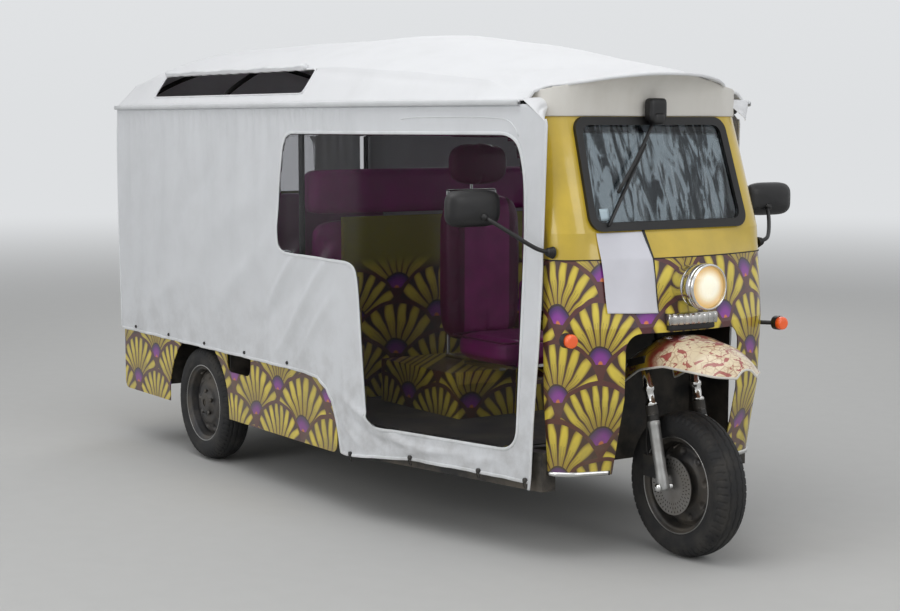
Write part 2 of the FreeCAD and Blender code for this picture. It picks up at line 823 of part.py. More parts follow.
def roof_canvas_rear():
    """The last length of the canopy, over the rear bench."""
    return canopy_length(rear_tip_x, bow_stations[-2])


def drip_rails():
    """Gutter rails along both roof edges."""
    rail = plan_strip(curtain_sheet + clearance, 22.0, rail_height - 20.0, rail_height - clearance)
    out = curtain_half + 100.0
    keep = box(curtain_rear_x - 20.0, 1360.0, -out, 0.0, rail_height - 50.0, rail_height + 50.0)
    return both(rail.common(keep))


def roof_bow(x):
    """One cross bow: a round tube turned along an arc from rail to rail."""
    half = curtain_half_at(x) - rail_inset
    rise = bow_crown(x) - bow_drop - roof_tube_height
    radius = (half * half + rise * rise) / (2 * rise)
    centre = V(x, 0, roof_tube_height + rise - radius)
    start = V(x, -half, roof_tube_height)
    spoke = start - centre
    tangent = V(0, -spoke.z, spoke.y)
    ring = Part.Wire([Part.Circle(start, tangent, bow_radius).toShape()])
    turn = 2 * math.degrees(math.asin(half / radius))
    return Part.Face(ring).revolve(centre, V(-1, 0, 0), turn)


def roof_frame():
    """Posts, rails and cross bows of the roof, as welded tube."""
    top = roof_tube_height
    rail_y = curtain_half - rail_inset
    front_x = bow_stations[0]
    rail = [(front_x, curtain_half_at(front_x) - rail_inset), (curtain_wide_x, rail_y), (post_x_rear, rail_y)]
    solids = []
    for side in (1.0, -1.0):
        solids.append(bent_rod([(x, y * side, top) for x, y in rail], tube_radius))
        for x in (post_x_middle, post_x_rear):
            foot_y = side * (rail_y - post_lean)
            solids.append(bent_rod([(x, foot_y, floor_top), (x, foot_y, top - 60.0), (x, side * rail_y, top)],
                                   post_radius))
    for x in bow_stations:
        solids.append(roof_bow(x))
    return solids[0].fuse(solids[1:])


def bow_crown(x):
    """Height of the roof skin's middle line at a station."""
    rise = roof_sections[-1][5]
    for ahead, behind in zip(roof_sections, roof_sections[1:]):
        if behind[0] <= x <= ahead[0]:
            share = (ahead[0] - x) / (ahead[0] - behind[0])
            rise = ahead[5] + share * (behind[5] - ahead[5])
    return rail_height + rise * crown_rise


# The left curtain is drawn back from the nose
window_front_right = 1345.0
window_front_left = 1190.0
curtain_left_front = 1300.0
curtain_top = rail_height - 14.0
window_top = curtain_top - 106.0


def curtain_profile():
    """Side view of the curtain: front edge, hem, cut-out over the tub and the top."""
    points = [
        (1500.0, curtain_top), (1500.0, 285.0), (1160.0, 290.0), (800.0, 290.0), (362.0, 248.0),
        (330.0, 350.0), (290.0, 470.0), (170.0, 535.0), (40.0, 548.0),
        (curtain_rear_x - 24.0, 548.0), (curtain_rear_x - 24.0, curtain_top),
    ]
    return side_prism(points, -curtain_half - 100.0, 0.0)


def window_profile(front):
    """Side view of a curtain's clear window: a wide upper part, with a door part in front of it."""
    points = [
        (front, window_top), (front + 7.0, 410.0), (556.0, 410.0),
        (500.0, 1030.0), (-160.0, 1030.0), (-115.0, window_top),
    ]
    return side_prism(points, -curtain_half - 100.0, 0.0, 70.0)


def side_curtain(window_front):
    """A canvas side curtain, as it hangs from the right gutter rail, with the cut for its window."""
    curtain = plan_strip(0.0, curtain_sheet, 0.0, crown).common(curtain_profile())
    return curtain.cut(window_profile(window_front))


def curtain_windows():
    """Clear plastic sheets sewn into the side curtains."""
    pane = plan_strip(1.0, 3.0, 0.0, crown)
    right = pane.common(window_profile(window_front_right))
    left = across(pane.common(window_profile(window_front_left)))
    return Part.makeCompound([right, left])


def rear_curtain():
    """Canvas across the back, from the canopy down over the tub, with a window."""
    back = tub_rear_x - curtain_sheet - clearance
    half = curtain_half - 24.0
    slab = box(back, tub_rear_x - clearance, -half, half, tub_top - 60.0, crown)
    below = box(back - 5.0, tub_rear_x + 5.0, -half, half, tub_top - 120.0, rail_height)
    under = roof_solid(roof_wall + clearance).fuse(below)
    return slab.common(under).cut(rear_window_prism())


def rear_window_prism():
    """Outline of the rear window as a prism."""
    low = tub_top + 140.0
    high = curtain_top - 132.0
    points = [(-420.0, low), (420.0, low), (420.0, high), (-420.0, high)]
    return front_prism(points, tub_rear_x - 30.0, tub_rear_x + 30.0, 60.0)


def rear_window():
    """Clear plastic sheet sewn into the rear curtain."""
    middle = tub_rear_x - clearance - curtain_sheet / 2
    return rear_window_prism().common(box(middle - 1.0, middle + 1.0, -tub_half, tub_half, tub_top, crown))


headlamp_z = belt - 100.0
headlamp_radius = 85.0
indicator_z = headlamp_z - 177.0
indicator_y = nose_half + 8.0
headlamp_front_x = 1768.0


def headlamp_bucket():
    """Deep round lamp shell standing out from the nose."""
    z = headlamp_z
    front = headlamp_front_x
    bowl = rod((1560.0, 0, z), (front - 38.0, 0, z), headlamp_radius - 8.0)
    rim = rod((front - 40.0, 0, z), (front, 0, z), headlamp_radius)
    mouth = rod((front - 8.0, 0, z), (front + 5.0, 0, z), headlamp_radius - 8.0)
    return bowl.fuse(rim).cut(mouth).cut(nose_solid(0.0))


def headlamp_lens():
    """Domed glass of the headlamp."""
    ball_radius = 260.0
    z = headlamp_z
    front = headlamp_front_x
    ball = Part.makeSphere(ball_radius, V(front + 6.0 - ball_radius, 0, z))
    pin = rod((front - 8.0, 0, z), (front + 20.0, 0, z), headlamp_radius - 8.2)
    return pin.common(ball)


def nose_strip():
    """Bright ribbed strip with a dark foot under the headlamp."""
    low = headlamp_z - 147.0
    strip = box(1640.0, 1692.0, -112.0, 112.0, low, low + 50.0)
    ribs = []
    for y in (-98.0, -70.0, -42.0, -14.0, 14.0, 42.0, 70.0):
        ribs.append(box(1690.0, 1697.0, y, y + 14.0, low + 6.0, low + 44.0))
    return strip.fuse(ribs).cut(nose_solid(0.0))


def indicator_stalks():
    """Short arms that carry the front turn lamps."""
    root = (1480.0, -indicator_y + 100.0, indicator_z)
    stalk = rod(root, (1596.0, -indicator_y + 8.0, indicator_z), 8.0)
    cup = rod((1584.0, -indicator_y, indicator_z), (1608.0, -indicator_y, indicator_z), 27.0)
    return both(stalk.fuse(cup).cut(nose_solid(0.0)))


def indicator_lenses():
    """Orange lenses of the front turn lamps."""
    lens = rod((1608.0, -indicator_y, indicator_z), (1632.0, -indicator_y, indicator_z), 26.0)
    return both(lens)


mirror_y = curtain_half + 10.0


def mirror_form(grow, x0, x1, corner):
    """The mirror's rounded outline, grown by a margin, between two stations."""
    low = belt + 126.0 - grow
    high = belt + 242.0 + grow
    points = [
        (-mirror_y - 96.0 - grow, low), (-mirror_y + 120.0 + grow, low + 4.0),
        (-mirror_y + 120.0 + grow, high - 4.0), (-mirror_y - 96.0 - grow, high),
    ]
    return front_prism(points, x0, x1, corner)


def mirrors():
    """Mirror housings on their arms, fixed to the nose's sides."""
    foot_z = belt + 27.0
    foot = (1486.0, -nose_half + 20.0, foot_z)
    bend = (1482.0, -nose_half - 56.0, foot_z + 18.0)
    head = (1330.0, -mirror_y + 40.0, belt + 163.0)
    arm = bent_rod([foot, bend, head], 8.0)
    pad = rod(foot, (1486.0, -nose_half - 10.0, foot_z), 20.0)
    shell = mirror_form(9.0, 1296.0, 1345.0, 38.0)
    face = mirror_form(0.0, 1290.0, 1300.0, 32.0)
    return both(arm.fuse([shell, pad]).cut(face).cut(surround_solid(0.0)).cut(nose_solid(0.0)))


def mirror_glasses():
    """Mirror glasses in the housings."""
    return both(mirror_form(0.0, 1297.0, 1300.0, 32.0))


def wiper():
    """Wiper motor over the top edge of the glass, its bracket on the canvas band, with arm and blade."""
    low = screen_high - 20.0
    back = screen_front_x(low) + 16.0 + clearance
    motor = box(back, back + 46.0, -42.0, 42.0, low, low + 90.0)
    band_front = screen_front_x(surround_top) + 6.0 + clearance
    bracket = box(band_front, back + 10.0, -24.0, 24.0, low + 45.0, low + 78.0)
    out = 26.0
    pivot_z = low + 6.0
    tip_z = screen_low + (screen_high - screen_low) / 3
    pivot = (screen_front_x(pivot_z) + out, 0.0, pivot_z)
    tip = (screen_front_x(tip_z) + out, -235.0, tip_z)
    arm = rod(pivot, tip, 5.0)
    return motor.fuse([bracket, arm])


def paper_sheet():
    """Blank paper hung over the nose below the screen."""
    skin = hollow(nose_solid(-3.0).fuse(surround_solid(-3.0)), nose_solid(-0.4).fuse(surround_solid(-0.4)))
    return skin.common(box(1300.0, 1800.0, -352.0, -145.0, belt - 190.0, screen_low - 2.0))


def front_tyre():
    """Front tyre on the centre line."""
    return tyre(0.0, front_axle_x)


def tyre(y, x):
    """A tyre with a rounded tread, turned about its axle."""
    w = tyre_width / 2
    r = wheel_radius
    rim = rim_lip_radius - 6.0
    bead = rim_width / 2 - 4.0
    a = V(x, y - bead, r + rim)
    b = V(x, y - w, r + (rim + r) / 2)
    c = V(x, y - w + 16.0, 2 * r - tyre_crown)
    d = V(x, y, 2 * r)
    e = V(x, y + w - 16.0, 2 * r - tyre_crown)
    f = V(x, y + w, r + (rim + r) / 2)
    g = V(x, y + bead, r + rim)
    wire = Part.Wire([
        Part.Arc(a, b, c).toShape(), Part.Arc(c, d, e).toShape(),
        Part.Arc(e, f, g).toShape(), Part.LineSegment(g, a).toShape(),
    ])
    return Part.Face(wire).revolve(V(x, y, r), V(0, 1, 0), 360.0)


def rim(y, x, bore, disc_side, drum=0.0):
    """A pressed steel wheel: barrel with lips, dished disc, hub and brake drum, bored for its axle."""
    r = wheel_radius
    half = rim_width / 2
    lip = rod((x, y - half, r), (x, y + half, r), rim_lip_radius)
    lip = lip.cut(tyre(y, x))
    barrel = rod((x, y - half + 8.0, r), (x, y + half - 8.0, r), rim_lip_radius - 22.0)
    inside = rod((x, y - half - 5.0, r), (x, y + half + 5.0, r), rim_lip_radius - 28.0)
    shape = lip.fuse(barrel).cut(inside)
    web = rod((x, y + disc_side * 8.0, r), (x, y + disc_side * 20.0, r), rim_lip_radius - 27.0)
    dish = rod((x, y + disc_side * 6.0, r), (x, y + disc_side * 32.0, r), 96.0)
    hub = rod((x, y - 50.0, r), (x, y + 50.0, r), hub_radius)
    hole = rod((x, y - 80.0, r), (x, y + 80.0, r), bore)
    parts = [web, dish, hub]
    if drum > 0:
        parts.append(rod((x, y - disc_side * 60.0, r), (x, y + disc_side * 10.0, r), drum))
    return shape.fuse(parts).cut(hole)


def front_rim():
    """Front wheel, bored for the axle pin."""
    return rim(0.0, front_axle_x, axle_radius + hub_fit, -1.0)


def front_disc():
    """Brake disc on the right of the front hub."""
    x = front_axle_x
    disc = rod((x, -78.0, wheel_radius), (x, -74.0, wheel_radius), 108.0)
    boss = rod((x, -74.0, wheel_radius), (x, -50.0, wheel_radius), 34.0)
    hole = rod((x, -90.0, wheel_radius), (x, 0.0, wheel_radius), axle_radius + hub_fit)
    return disc.fuse(boss).cut(hole)


def brake_caliper():
    """Caliper on the right leg, over the back of the disc."""
    x = front_axle_x
    r = wheel_radius
    block = box(x - 132.0, x - 62.0, -102.0, -rim_width / 2 - 5.0, r + 20.0, r + 100.0)
    slot = box(x - 125.0, x + 20.0, -83.0, -69.0, r - 50.0, r + 200.0)
    lug = box(x - 80.0, x - 30.0, -102.0, -89.0, r + 30.0, r + 90.0)
    return block.cut(slot).fuse(lug).cut(fork_leg(-1.0))


def fork_leg(side):
    """One lower fork leg along the rake, from the axle up."""
    return rod(leg_point(side, -14.0), leg_point(side, leg_length), leg_radius)


def leg_point(side, run):
    """A point on a leg's centre line, run millimetres up the rake from the axle."""
    x = front_axle_x - run * math.sin(rake)
    return (x, side * leg_spacing_half, wheel_radius + run * math.cos(rake))


def fork_legs():
    """Lower legs joined by the axle pin."""
    x = front_axle_x
    r = wheel_radius
    end = leg_spacing_half + 30.0
    parts = [fork_leg(-1.0), fork_leg(1.0)]
    for side in (-1.0, 1.0):
        parts.append(rod((x, side * (end - 8.0), r), (x, side * (end + 8.0), r), 15.0))
    return rod((x, -end, r), (x, end, r), axle_radius).fuse(parts)


def fork_yoke():
    """Upper fork tubes, the yoke that joins them and the steering stem."""
    run_top = (yoke_height - wheel_radius) / math.cos(rake)
    tubes = []
    for side in (-1.0, 1.0):
        foot = leg_point(side, leg_length)
        tubes.append(rod(foot, leg_point(side, run_top), stanchion_radius))
        tubes.append(rod(foot, leg_point(side, leg_length + 34.0), stanchion_radius + 6.0))
    axis = V(*along_axis(yoke_height))
    up = V(-math.sin(rake), 0, math.cos(rake))
    plate = Part.makeBox(steer_setback + 60.0, 2 * leg_spacing_half + 56.0, yoke_thick)
    plate.translate(V(-28.0, -leg_spacing_half - 28.0, -yoke_thick / 2))
    plate.rotate(V(0, 0, 0), V(0, 1, 0), -rake_deg)
    plate.translate(axis)
    stem = rod(along_axis(yoke_height), along_axis(bar_height), stem_radius)
    collar_low = along_axis(head_tube_bottom - 12.0)
    collar = rod(collar_low, along_axis(head_tube_bottom - clearance), stem_radius + 12.0)
    return plate.fuse(tubes + [stem, collar])


def handlebar():
    """Bent bar on its clamp."""
    x, _, z = along_axis(bar_height)
    clamp = box(x - 26.0, x + 26.0, -34.0, 34.0, z - 14.0, z + 20.0)
    points = [
        (x - bar_sweep, -bar_half, z + 26.0), (x - 30.0, -170.0, z + 26.0), (x, -60.0, z + 6.0),
        (x, 60.0, z + 6.0), (x - 30.0, 170.0, z + 26.0), (x - bar_sweep, bar_half, z + 26.0),
    ]
    bar = bent_rod(points, bar_radius)
    stem = rod(along_axis(yoke_height), along_axis(bar_height), stem_radius)
    return bar.fuse(clamp).cut(stem)


def handlebar_grips():
    """Rubber grips over the bar's ends."""
    x, _, z = along_axis(bar_height)
    end = V(x - bar_sweep, -bar_half, z + 26.0)
    inner = V(x - 30.0, -170.0, z + 26.0)
    way = (inner - end).normalize()
    a = end - way * 6.0
    b = end + way * grip_length
    room = rod(tuple(end), tuple(end + way * 200.0), bar_radius)
    grip = rod(tuple(a), tuple(b), grip_radius).cut(room)
    return both(grip)


# Mudguard sections: station, half-width, edge height, inset, shoulder height, top height
mudguard_sections = (
    (1436.0, 128.0, 628.0, 10.0, 668.0, 742.0),
    (1560.0, 148.0, 694.0, 12.0, 736.0, 812.0),
    (1700.0, 154.0, 722.0, 14.0, 758.0, 826.0),
    (1840.0, 142.0, 716.0, 16.0, 744.0, 802.0),
    (1925.0, 108.0, 706.0, 16.0, 722.0, 766.0),
    (front_tip_x, 40.0, 702.0, 8.0, 708.0, 726.0),
)


def mudguard_solid(inset, drop):
    """The mudguard as a filled form, its skin moved in by inset."""
    wires = []
    for i, (x, half, edge, lean, shoulder, top) in enumerate(mudguard_sections):
        if inset > 0 and i == 0:
            x = x - 5.0
        if inset > 0 and i == len(mudguard_sections) - 1:
            x = x - 6.0
        wires.append(arched_wire(x, half - inset, edge - drop, lean, shoulder - inset * 0.6, top - inset))
    return Part.makeLoft(wires, True, True)


def front_mudguard():
    """Bill-shaped mudguard that turns with the fork, seated on the yoke."""
    skin = hollow(mudguard_solid(0.0, 0.0), mudguard_solid(sheet, 20.0))
    yoke_top = yoke_height + yoke_thick / 2 / math.cos(rake)
    saddle = rod(along_axis(yoke_top), along_axis(800.0), stem_radius + 14.0)
    saddle = saddle.common(mudguard_solid(0.0, 20.0))
    hole = rod(along_axis(600.0), along_axis(900.0), stem_radius)
    return skin.fuse(saddle).cut(hole).cut(fork_yoke())


def rear_tyre_right():
    """Right rear tyre."""
    return tyre(-rear_track_half, rear_axle_x)


def rear_tyre_left():
    """Left rear tyre."""
    return tyre(rear_track_half, rear_axle_x)


def rear_rim_right():
    """Right rear wheel."""
    return rim(-rear_track_half, rear_axle_x, stub_radius + hub_fit, -1.0, drum_radius - 6.0)


def rear_rim_left():
    """Left rear wheel."""
    return rim(rear_track_half, rear_axle_x, stub_radius + hub_fit, 1.0, drum_radius - 6.0)


def side_curtain_right():
    """Curtain on the right."""
    return side_curtain(window_front_right)


def side_curtain_left():
    """Curtain on the left, its front edge drawn back."""
    drawn = side_curtain(window_front_left)
    room = box(curtain_rear_x - 60.0, curtain_left_front, -curtain_half - 100.0, 0.0, 0.0, crown)
    return across(drawn.common(room))


makers = (
    chassis_frame, floor_pan, wheelhouses, sills, nose_shell, wheel_liner, screen_surround, windscreen_gasket,
    windscreen_glass, wiper, headlamp_bucket, headlamp_lens, nose_strip, indicator_stalks, indicator_lenses,
    mirrors, mirror_glasses, paper_sheet, dashboard, seat_box, seat_frame, driver_cushion, driver_backrest,
    bulkhead, bulkhead_pad, bench_bases, bench_cushions, bench_backrests, tub_sides, rear_panel, tail_lamps,
    number_plate, rear_bumper, engine_block, drive_shaft, rear_axle, leaf_springs, exhaust, roof_frame,
    roof_canvas, roof_canvas_rear, drip_rails, side_curtain_right, side_curtain_left, curtain_windows,
    rear_curtain, rear_window, fork_legs, fork_yoke, handlebar, handlebar_grips, front_mudguard,
    brake_caliper, front_tyre, front_rim, front_disc, rear_tyre_right, rear_rim_right, rear_tyre_left, rear_rim_left,
)

os.makedirs("parts", exist_ok=True)
for maker in makers:
    shape = maker()
    name = maker.__name__
    print(name, len(shape.Solids), round(shape.Volume / 1e6, 3), shape.isValid())
    shape.exportStep("parts/" + name + ".step")
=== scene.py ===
import json
import math

import bmesh
import bpy
import numpy as np
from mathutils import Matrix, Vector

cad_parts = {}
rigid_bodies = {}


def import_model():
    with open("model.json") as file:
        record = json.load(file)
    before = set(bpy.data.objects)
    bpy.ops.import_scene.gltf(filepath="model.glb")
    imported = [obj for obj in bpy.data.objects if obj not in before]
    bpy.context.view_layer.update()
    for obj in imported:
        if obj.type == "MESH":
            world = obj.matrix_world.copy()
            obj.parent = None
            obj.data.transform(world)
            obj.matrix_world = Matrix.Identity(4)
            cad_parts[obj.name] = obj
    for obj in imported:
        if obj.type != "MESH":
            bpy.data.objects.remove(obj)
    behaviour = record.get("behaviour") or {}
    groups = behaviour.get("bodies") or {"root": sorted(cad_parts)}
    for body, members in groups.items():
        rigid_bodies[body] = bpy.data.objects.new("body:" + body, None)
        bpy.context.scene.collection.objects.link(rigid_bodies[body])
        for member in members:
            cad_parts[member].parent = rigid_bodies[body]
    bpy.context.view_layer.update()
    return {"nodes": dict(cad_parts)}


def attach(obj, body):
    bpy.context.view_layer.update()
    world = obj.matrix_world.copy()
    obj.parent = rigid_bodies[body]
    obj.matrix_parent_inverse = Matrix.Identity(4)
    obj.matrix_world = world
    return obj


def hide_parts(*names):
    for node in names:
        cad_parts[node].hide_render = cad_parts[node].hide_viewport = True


for start_object in list(bpy.data.objects):
    bpy.data.objects.remove(start_object)
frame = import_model()


# The stand: a pale concrete floor that fades into a pale sky, daylight from above and the eye of
# someone standing in front of the vehicle on its right. Nothing here belongs to the vehicle.

def surface(name, *grids, keep=None):
    """One smooth mesh from grids of points (rows, columns, 3). Four neighbours make a face, where keep isn't
    false. Points that meet are joined, which closes seams and poles, and the faces are turned outwards."""
    mesh = bpy.data.meshes.new(name)
    corners, places, flat, start = [], [], [], 0
    for grid in grids:
        rows, cols = grid.shape[:2]
        index = start + np.arange(rows * cols).reshape(rows, cols)
        faces = np.stack([index[:-1, :-1], index[1:, :-1], index[1:, 1:], index[:-1, 1:]], -1)
        corners.append(faces.reshape(-1, 4))
        down, over = np.meshgrid(np.linspace(0, 1, rows), np.linspace(0, 1, cols), indexing="ij")
        flat.append(np.stack([over, down], -1).reshape(-1, 2))
        places.append(grid.reshape(-1, 3))
        start += rows * cols
    corners, places, flat = (np.concatenate(part) for part in (corners, places, flat))
    corners = corners if keep is None else corners[keep.ravel()]
    mesh.vertices.add(len(places))
    mesh.vertices.foreach_set("co", places.astype(np.float32).ravel())
    mesh.loops.add(corners.size)
    mesh.loops.foreach_set("vertex_index", corners.astype(np.int32).ravel())
    mesh.polygons.add(len(corners))
    mesh.polygons.foreach_set("loop_start", np.arange(0, corners.size, 4, dtype=np.int32))
    mesh.update(calc_edges=True)
    laid = mesh.uv_layers.new(name="laid_flat")
    laid.data.foreach_set("uv", flat[corners.ravel()].astype(np.float32).ravel())
    shape = bmesh.new()
    shape.from_mesh(mesh)
    bmesh.ops.delete(shape, geom=[point for point in shape.verts if not point.link_faces], context="VERTS")
    bmesh.ops.remove_doubles(shape, verts=shape.verts, dist=2e-6)
    bmesh.ops.recalc_face_normals(shape, faces=shape.faces)
    shape.to_mesh(mesh)
    shape.free()
    mesh.polygons.foreach_set("use_smooth", np.ones(len(mesh.polygons), bool))
    thing = bpy.data.objects.new(name, mesh)
    bpy.context.scene.collection.objects.link(thing)
    return thing


def colour(red, green, blue):
    """Screen values from 0 to 255 as the linear colour that a shader takes."""
    screen = np.array([red, green, blue]) / 255
    linear = np.where(screen <= 0.04045, screen / 12.92, ((screen + 0.055) / 1.055) ** 2.4)
    return (*linear.tolist(), 1.0)


def add(tree, kind, sockets=None, **settings):
    """A new node. Its sockets, by name or number, take a value or another node's output."""
    made = tree.nodes.new(kind)
    for key, value in settings.items():
        setattr(made, key, value)
    for key, value in (sockets or {}).items():
        if isinstance(value, bpy.types.NodeSocket):
            tree.links.new(value, made.inputs[key])
        else:
            made.inputs[key].default_value = value
    return made


def maths(tree, operation, *values):
    """One sum on numbers."""
    return add(tree, "ShaderNodeMath", dict(enumerate(values)), operation=operation).outputs[0]


def times(tree, one, other):
    return maths(tree, "MULTIPLY", one, other)


def plus(tree, one, other):
    return maths(tree, "ADD", one, other)


def minus(tree, one, other):
    return maths(tree, "SUBTRACT", one, other)


def between(tree, share, one, other):
    """A colour part of the way from one to the other."""
    return add(tree, "ShaderNodeMix", {0: share, 6: one, 7: other}, data_type="RGBA").outputs[2]


def stretched(tree, value, low, high, to_low=0.0, to_high=1.0):
    """A number carried from one span to another, smoothly and without leaving it."""
    node = add(tree, "ShaderNodeMapRange", {0: value, 1: low, 2: high, 3: to_low, 4: to_high},
               interpolation_type="SMOOTHSTEP")
    return node.outputs[0]


def place(tree):
    """The point on the object, in metres, and its three numbers."""
    point = add(tree, "ShaderNodeTexCoord").outputs["Object"]
    parts = add(tree, "ShaderNodeSeparateXYZ", {0: point}).outputs
    return point, parts[0], parts[1], parts[2]


def blank(name):
    """A new material with its tree and its shader."""
    material = bpy.data.materials.new(name)
    material.use_nodes = True
    return material, material.node_tree, material.node_tree.nodes["Principled BSDF"]


def bumped(tree, shader, height, distance):
    """Presses a height into a shader's surface."""
    bump = add(tree, "ShaderNodeBump", {"Height": height, "Distance": distance, "Strength": 1.0})
    tree.links.new(bump.outputs[0], shader.inputs["Normal"])


floor_tone = colour(206, 206, 204)
sky_low = colour(222, 224, 226)
floor_reach = 90.0

ring = np.linspace(0, 2 * np.pi, 97)
reach = np.array([0.0, 3.0, 8.0, 20.0, floor_reach])
floor = surface("floor", np.stack([reach[:, None] * np.cos(ring), reach[:, None] * np.sin(ring),
                                   np.zeros((5, 97))], -1))
material, tree, shader = blank("pale_floor")
point, *_ = place(tree)
speckle = add(tree, "ShaderNodeTexNoise", {"Vector": point, "Scale": 9.0, "Detail": 8.0}).outputs[0]
tree.links.new(between(tree, times(tree, speckle, 0.25), floor_tone, colour(186, 186, 184)),
               shader.inputs["Base Color"])
shader.inputs["Roughness"].default_value = 0.85
far = add(tree, "ShaderNodeVectorMath", {0: point}, operation="LENGTH").outputs["Value"]
far = stretched(tree, far, 5.0, 24.0)
haze = add(tree, "ShaderNodeEmission", {"Color": sky_low, "Strength": 1.0})
both = add(tree, "ShaderNodeMixShader", {0: far, 1: shader.outputs[0], 2: haze.outputs[0]})
tree.links.new(both.outputs[0], tree.nodes["Material Output"].inputs[0])
floor.data.materials.append(material)

world = bpy.context.scene.world or bpy.data.worlds.new("daylight")
bpy.context.scene.world = world
world.use_nodes = True
tree = world.node_tree
tree.nodes.clear()
sky_way = add(tree, "ShaderNodeTexCoord").outputs["Generated"]
way = add(tree, "ShaderNodeSeparateXYZ", {0: sky_way}).outputs[2]
climb = add(tree, "ShaderNodeMapRange", {0: way, 1: 0.0, 2: 1.0})
sky = between(tree, climb.outputs[0], sky_low, colour(250, 251, 253))
light = add(tree, "ShaderNodeBackground", {"Color": sky, "Strength": 0.5})
seen = add(tree, "ShaderNodeBackground", {"Color": sky, "Strength": 1.0})
path = add(tree, "ShaderNodeLightPath").outputs
shown = maths(tree, "MAXIMUM", path["Is Camera Ray"],
              maths(tree, "MAXIMUM", path["Is Glossy Ray"], path["Is Transmission Ray"]))
both = add(tree, "ShaderNodeMixShader", {0: shown, 1: light.outputs[0], 2: seen.outputs[0]})
tree.links.new(both.outputs[0], add(tree, "ShaderNodeOutputWorld").inputs[0])


def lamp_panel(name, spot, aim, size, power):
    """A square soft light at a spot, turned towards another."""
    light = bpy.data.lights.new(name, "AREA")
    light.shape = "SQUARE"
    light.size = size
    light.energy = power
    panel = bpy.data.objects.new(name, light)
    panel.location = spot
    panel.rotation_mode = "QUATERNION"
    panel.rotation_quaternion = (Vector(aim) - Vector(spot)).to_track_quat("-Z", "Y")
    bpy.context.scene.collection.objects.link(panel)


lamp_panel("sky_panel", (1.5, -2.0, 6.5), (0, 0, 0.8), 5.0, 130.0)
lamp_panel("front_panel", (7.5, 0.5, 3.6), (0.8, 0, 0.8), 3.0, 60.0)
lamp_panel("side_panel", (1.5, -8.5, 3.4), (0.4, 0, 0.9), 4.0, 110.0)
lamp_panel("back_panel", (-5.0, 4.5, 4.5), (0, 0, 0.8), 3.0, 60.0)

eye = Vector((6.478, -4.236, 1.60))
sight = Vector((-0.834, 0.552, -0.1055))
camera = bpy.data.objects.new("eye", bpy.data.cameras.new("eye"))
camera.data.lens = 70.0
camera.data.sensor_width = 36.0
camera.location = eye
camera.rotation_mode = "QUATERNION"
camera.rotation_quaternion = sight.to_track_quat("-Z", "Y")
bpy.context.scene.collection.objects.link(camera)
bpy.context.scene.camera = camera
bpy.context.scene.view_settings.view_transform = "Standard"


# The ladder frame with its steering neck: welded steel box, sprayed with black chassis paint that has
# gone dull and dusty near the road. Sills, wheel housings and the front arch are painted the same.

def effect(name, takes, gives):
    """An empty shader group. Takes are (name, kind, value) and gives are (name, kind)."""
    group = bpy.data.node_groups.new(name, "ShaderNodeTree")
    for label, kind, value in takes:
        socket = group.interface.new_socket(label, in_out="INPUT", socket_type="NodeSocket" + kind)
        if value is not None:
            socket.default_value = value
    for label, kind in gives:
        group.interface.new_socket(label, in_out="OUTPUT", socket_type="NodeSocket" + kind)
    return group, group.nodes.new("NodeGroupInput").outputs, group.nodes.new("NodeGroupOutput").inputs


grain, takes, gives = effect("grain", [("Place", "Vector", None), ("Size", "Float", 0.004)],
                             [("Height", "Float"), ("Tone", "Float")])
close = maths(grain, "DIVIDE", 1.0, takes["Size"])
wide = times(grain, close, 0.03)
fine = add(grain, "ShaderNodeTexNoise", {"Vector": takes["Place"], "Scale": close, "Detail": 3.0})
broad = add(grain, "ShaderNodeTexNoise", {"Vector": takes["Place"], "Scale": wide, "Detail": 5.0})
grain.links.new(fine.outputs[0], gives["Height"])
grain.links.new(broad.outputs[0], gives["Tone"])

dirt, takes, gives = effect("road_dirt", [("Place", "Vector", None), ("Colour", "Color", None),
                                          ("Amount", "Float", 0.3)],
                            [("Colour", "Color"), ("Share", "Float")])
height = add(dirt, "ShaderNodeSeparateXYZ", {0: takes["Place"]}).outputs[2]
low = stretched(dirt, height, 0.05, 1.0, 1.0, 0.12)
cloud = add(dirt, "ShaderNodeTexNoise", {"Vector": takes["Place"], "Scale": 7.0, "Detail": 8.0,
                                         "Roughness": 0.65})
patch = stretched(dirt, cloud.outputs[0], 0.35, 0.7)
share = times(dirt, times(dirt, patch, low), takes["Amount"])
dirt.links.new(between(dirt, share, takes["Colour"], colour(120, 112, 100)), gives["Colour"])
dirt.links.new(share, gives["Share"])


def finish(name, base, rough, metal=0.0, depth=0.0002, size=0.004, shade=0.12, soil=0.35, coat=0.0,
           other=None):
    """A painted, moulded or bare surface: its base colour drifts by shade towards a darker one, its bump has
    grains of one size and depth, and road dirt dulls it near the ground. Other is a colour from nodes."""
    material, tree, shader = blank(name)
    point, *_ = place(tree)
    skin = add(tree, "ShaderNodeGroup", {}, node_tree=grain)
    soiled = add(tree, "ShaderNodeGroup", {}, node_tree=dirt)
    for node in (skin, soiled):
        tree.links.new(point, node.inputs["Place"])
    skin.inputs["Size"].default_value = size
    soiled.inputs["Amount"].default_value = soil
    dark = tuple(part * (1 - 2 * shade) for part in base[:3]) + (1.0,)
    drift = stretched(tree, skin.outputs["Tone"], 0.3, 0.7)
    if other is None:
        tree.links.new(between(tree, drift, base, dark), soiled.inputs["Colour"])
    else:
        tree.links.new(between(tree, times(tree, drift, shade), other(tree, point), dark),
                       soiled.inputs["Colour"])
    tree.links.new(soiled.outputs["Colour"], shader.inputs["Base Color"])
    dull = plus(tree, rough, times(tree, soiled.outputs["Share"], 0.5))
    tree.links.new(plus(tree, dull, times(tree, skin.outputs["Tone"], 0.08)), shader.inputs["Roughness"])
    bumped(tree, shader, skin.outputs["Height"], depth)
    shader.inputs["Metallic"].default_value = metal
    shader.inputs["Coat Weight"].default_value = coat
    shader.inputs["Coat Roughness"].default_value = 0.08
    return material


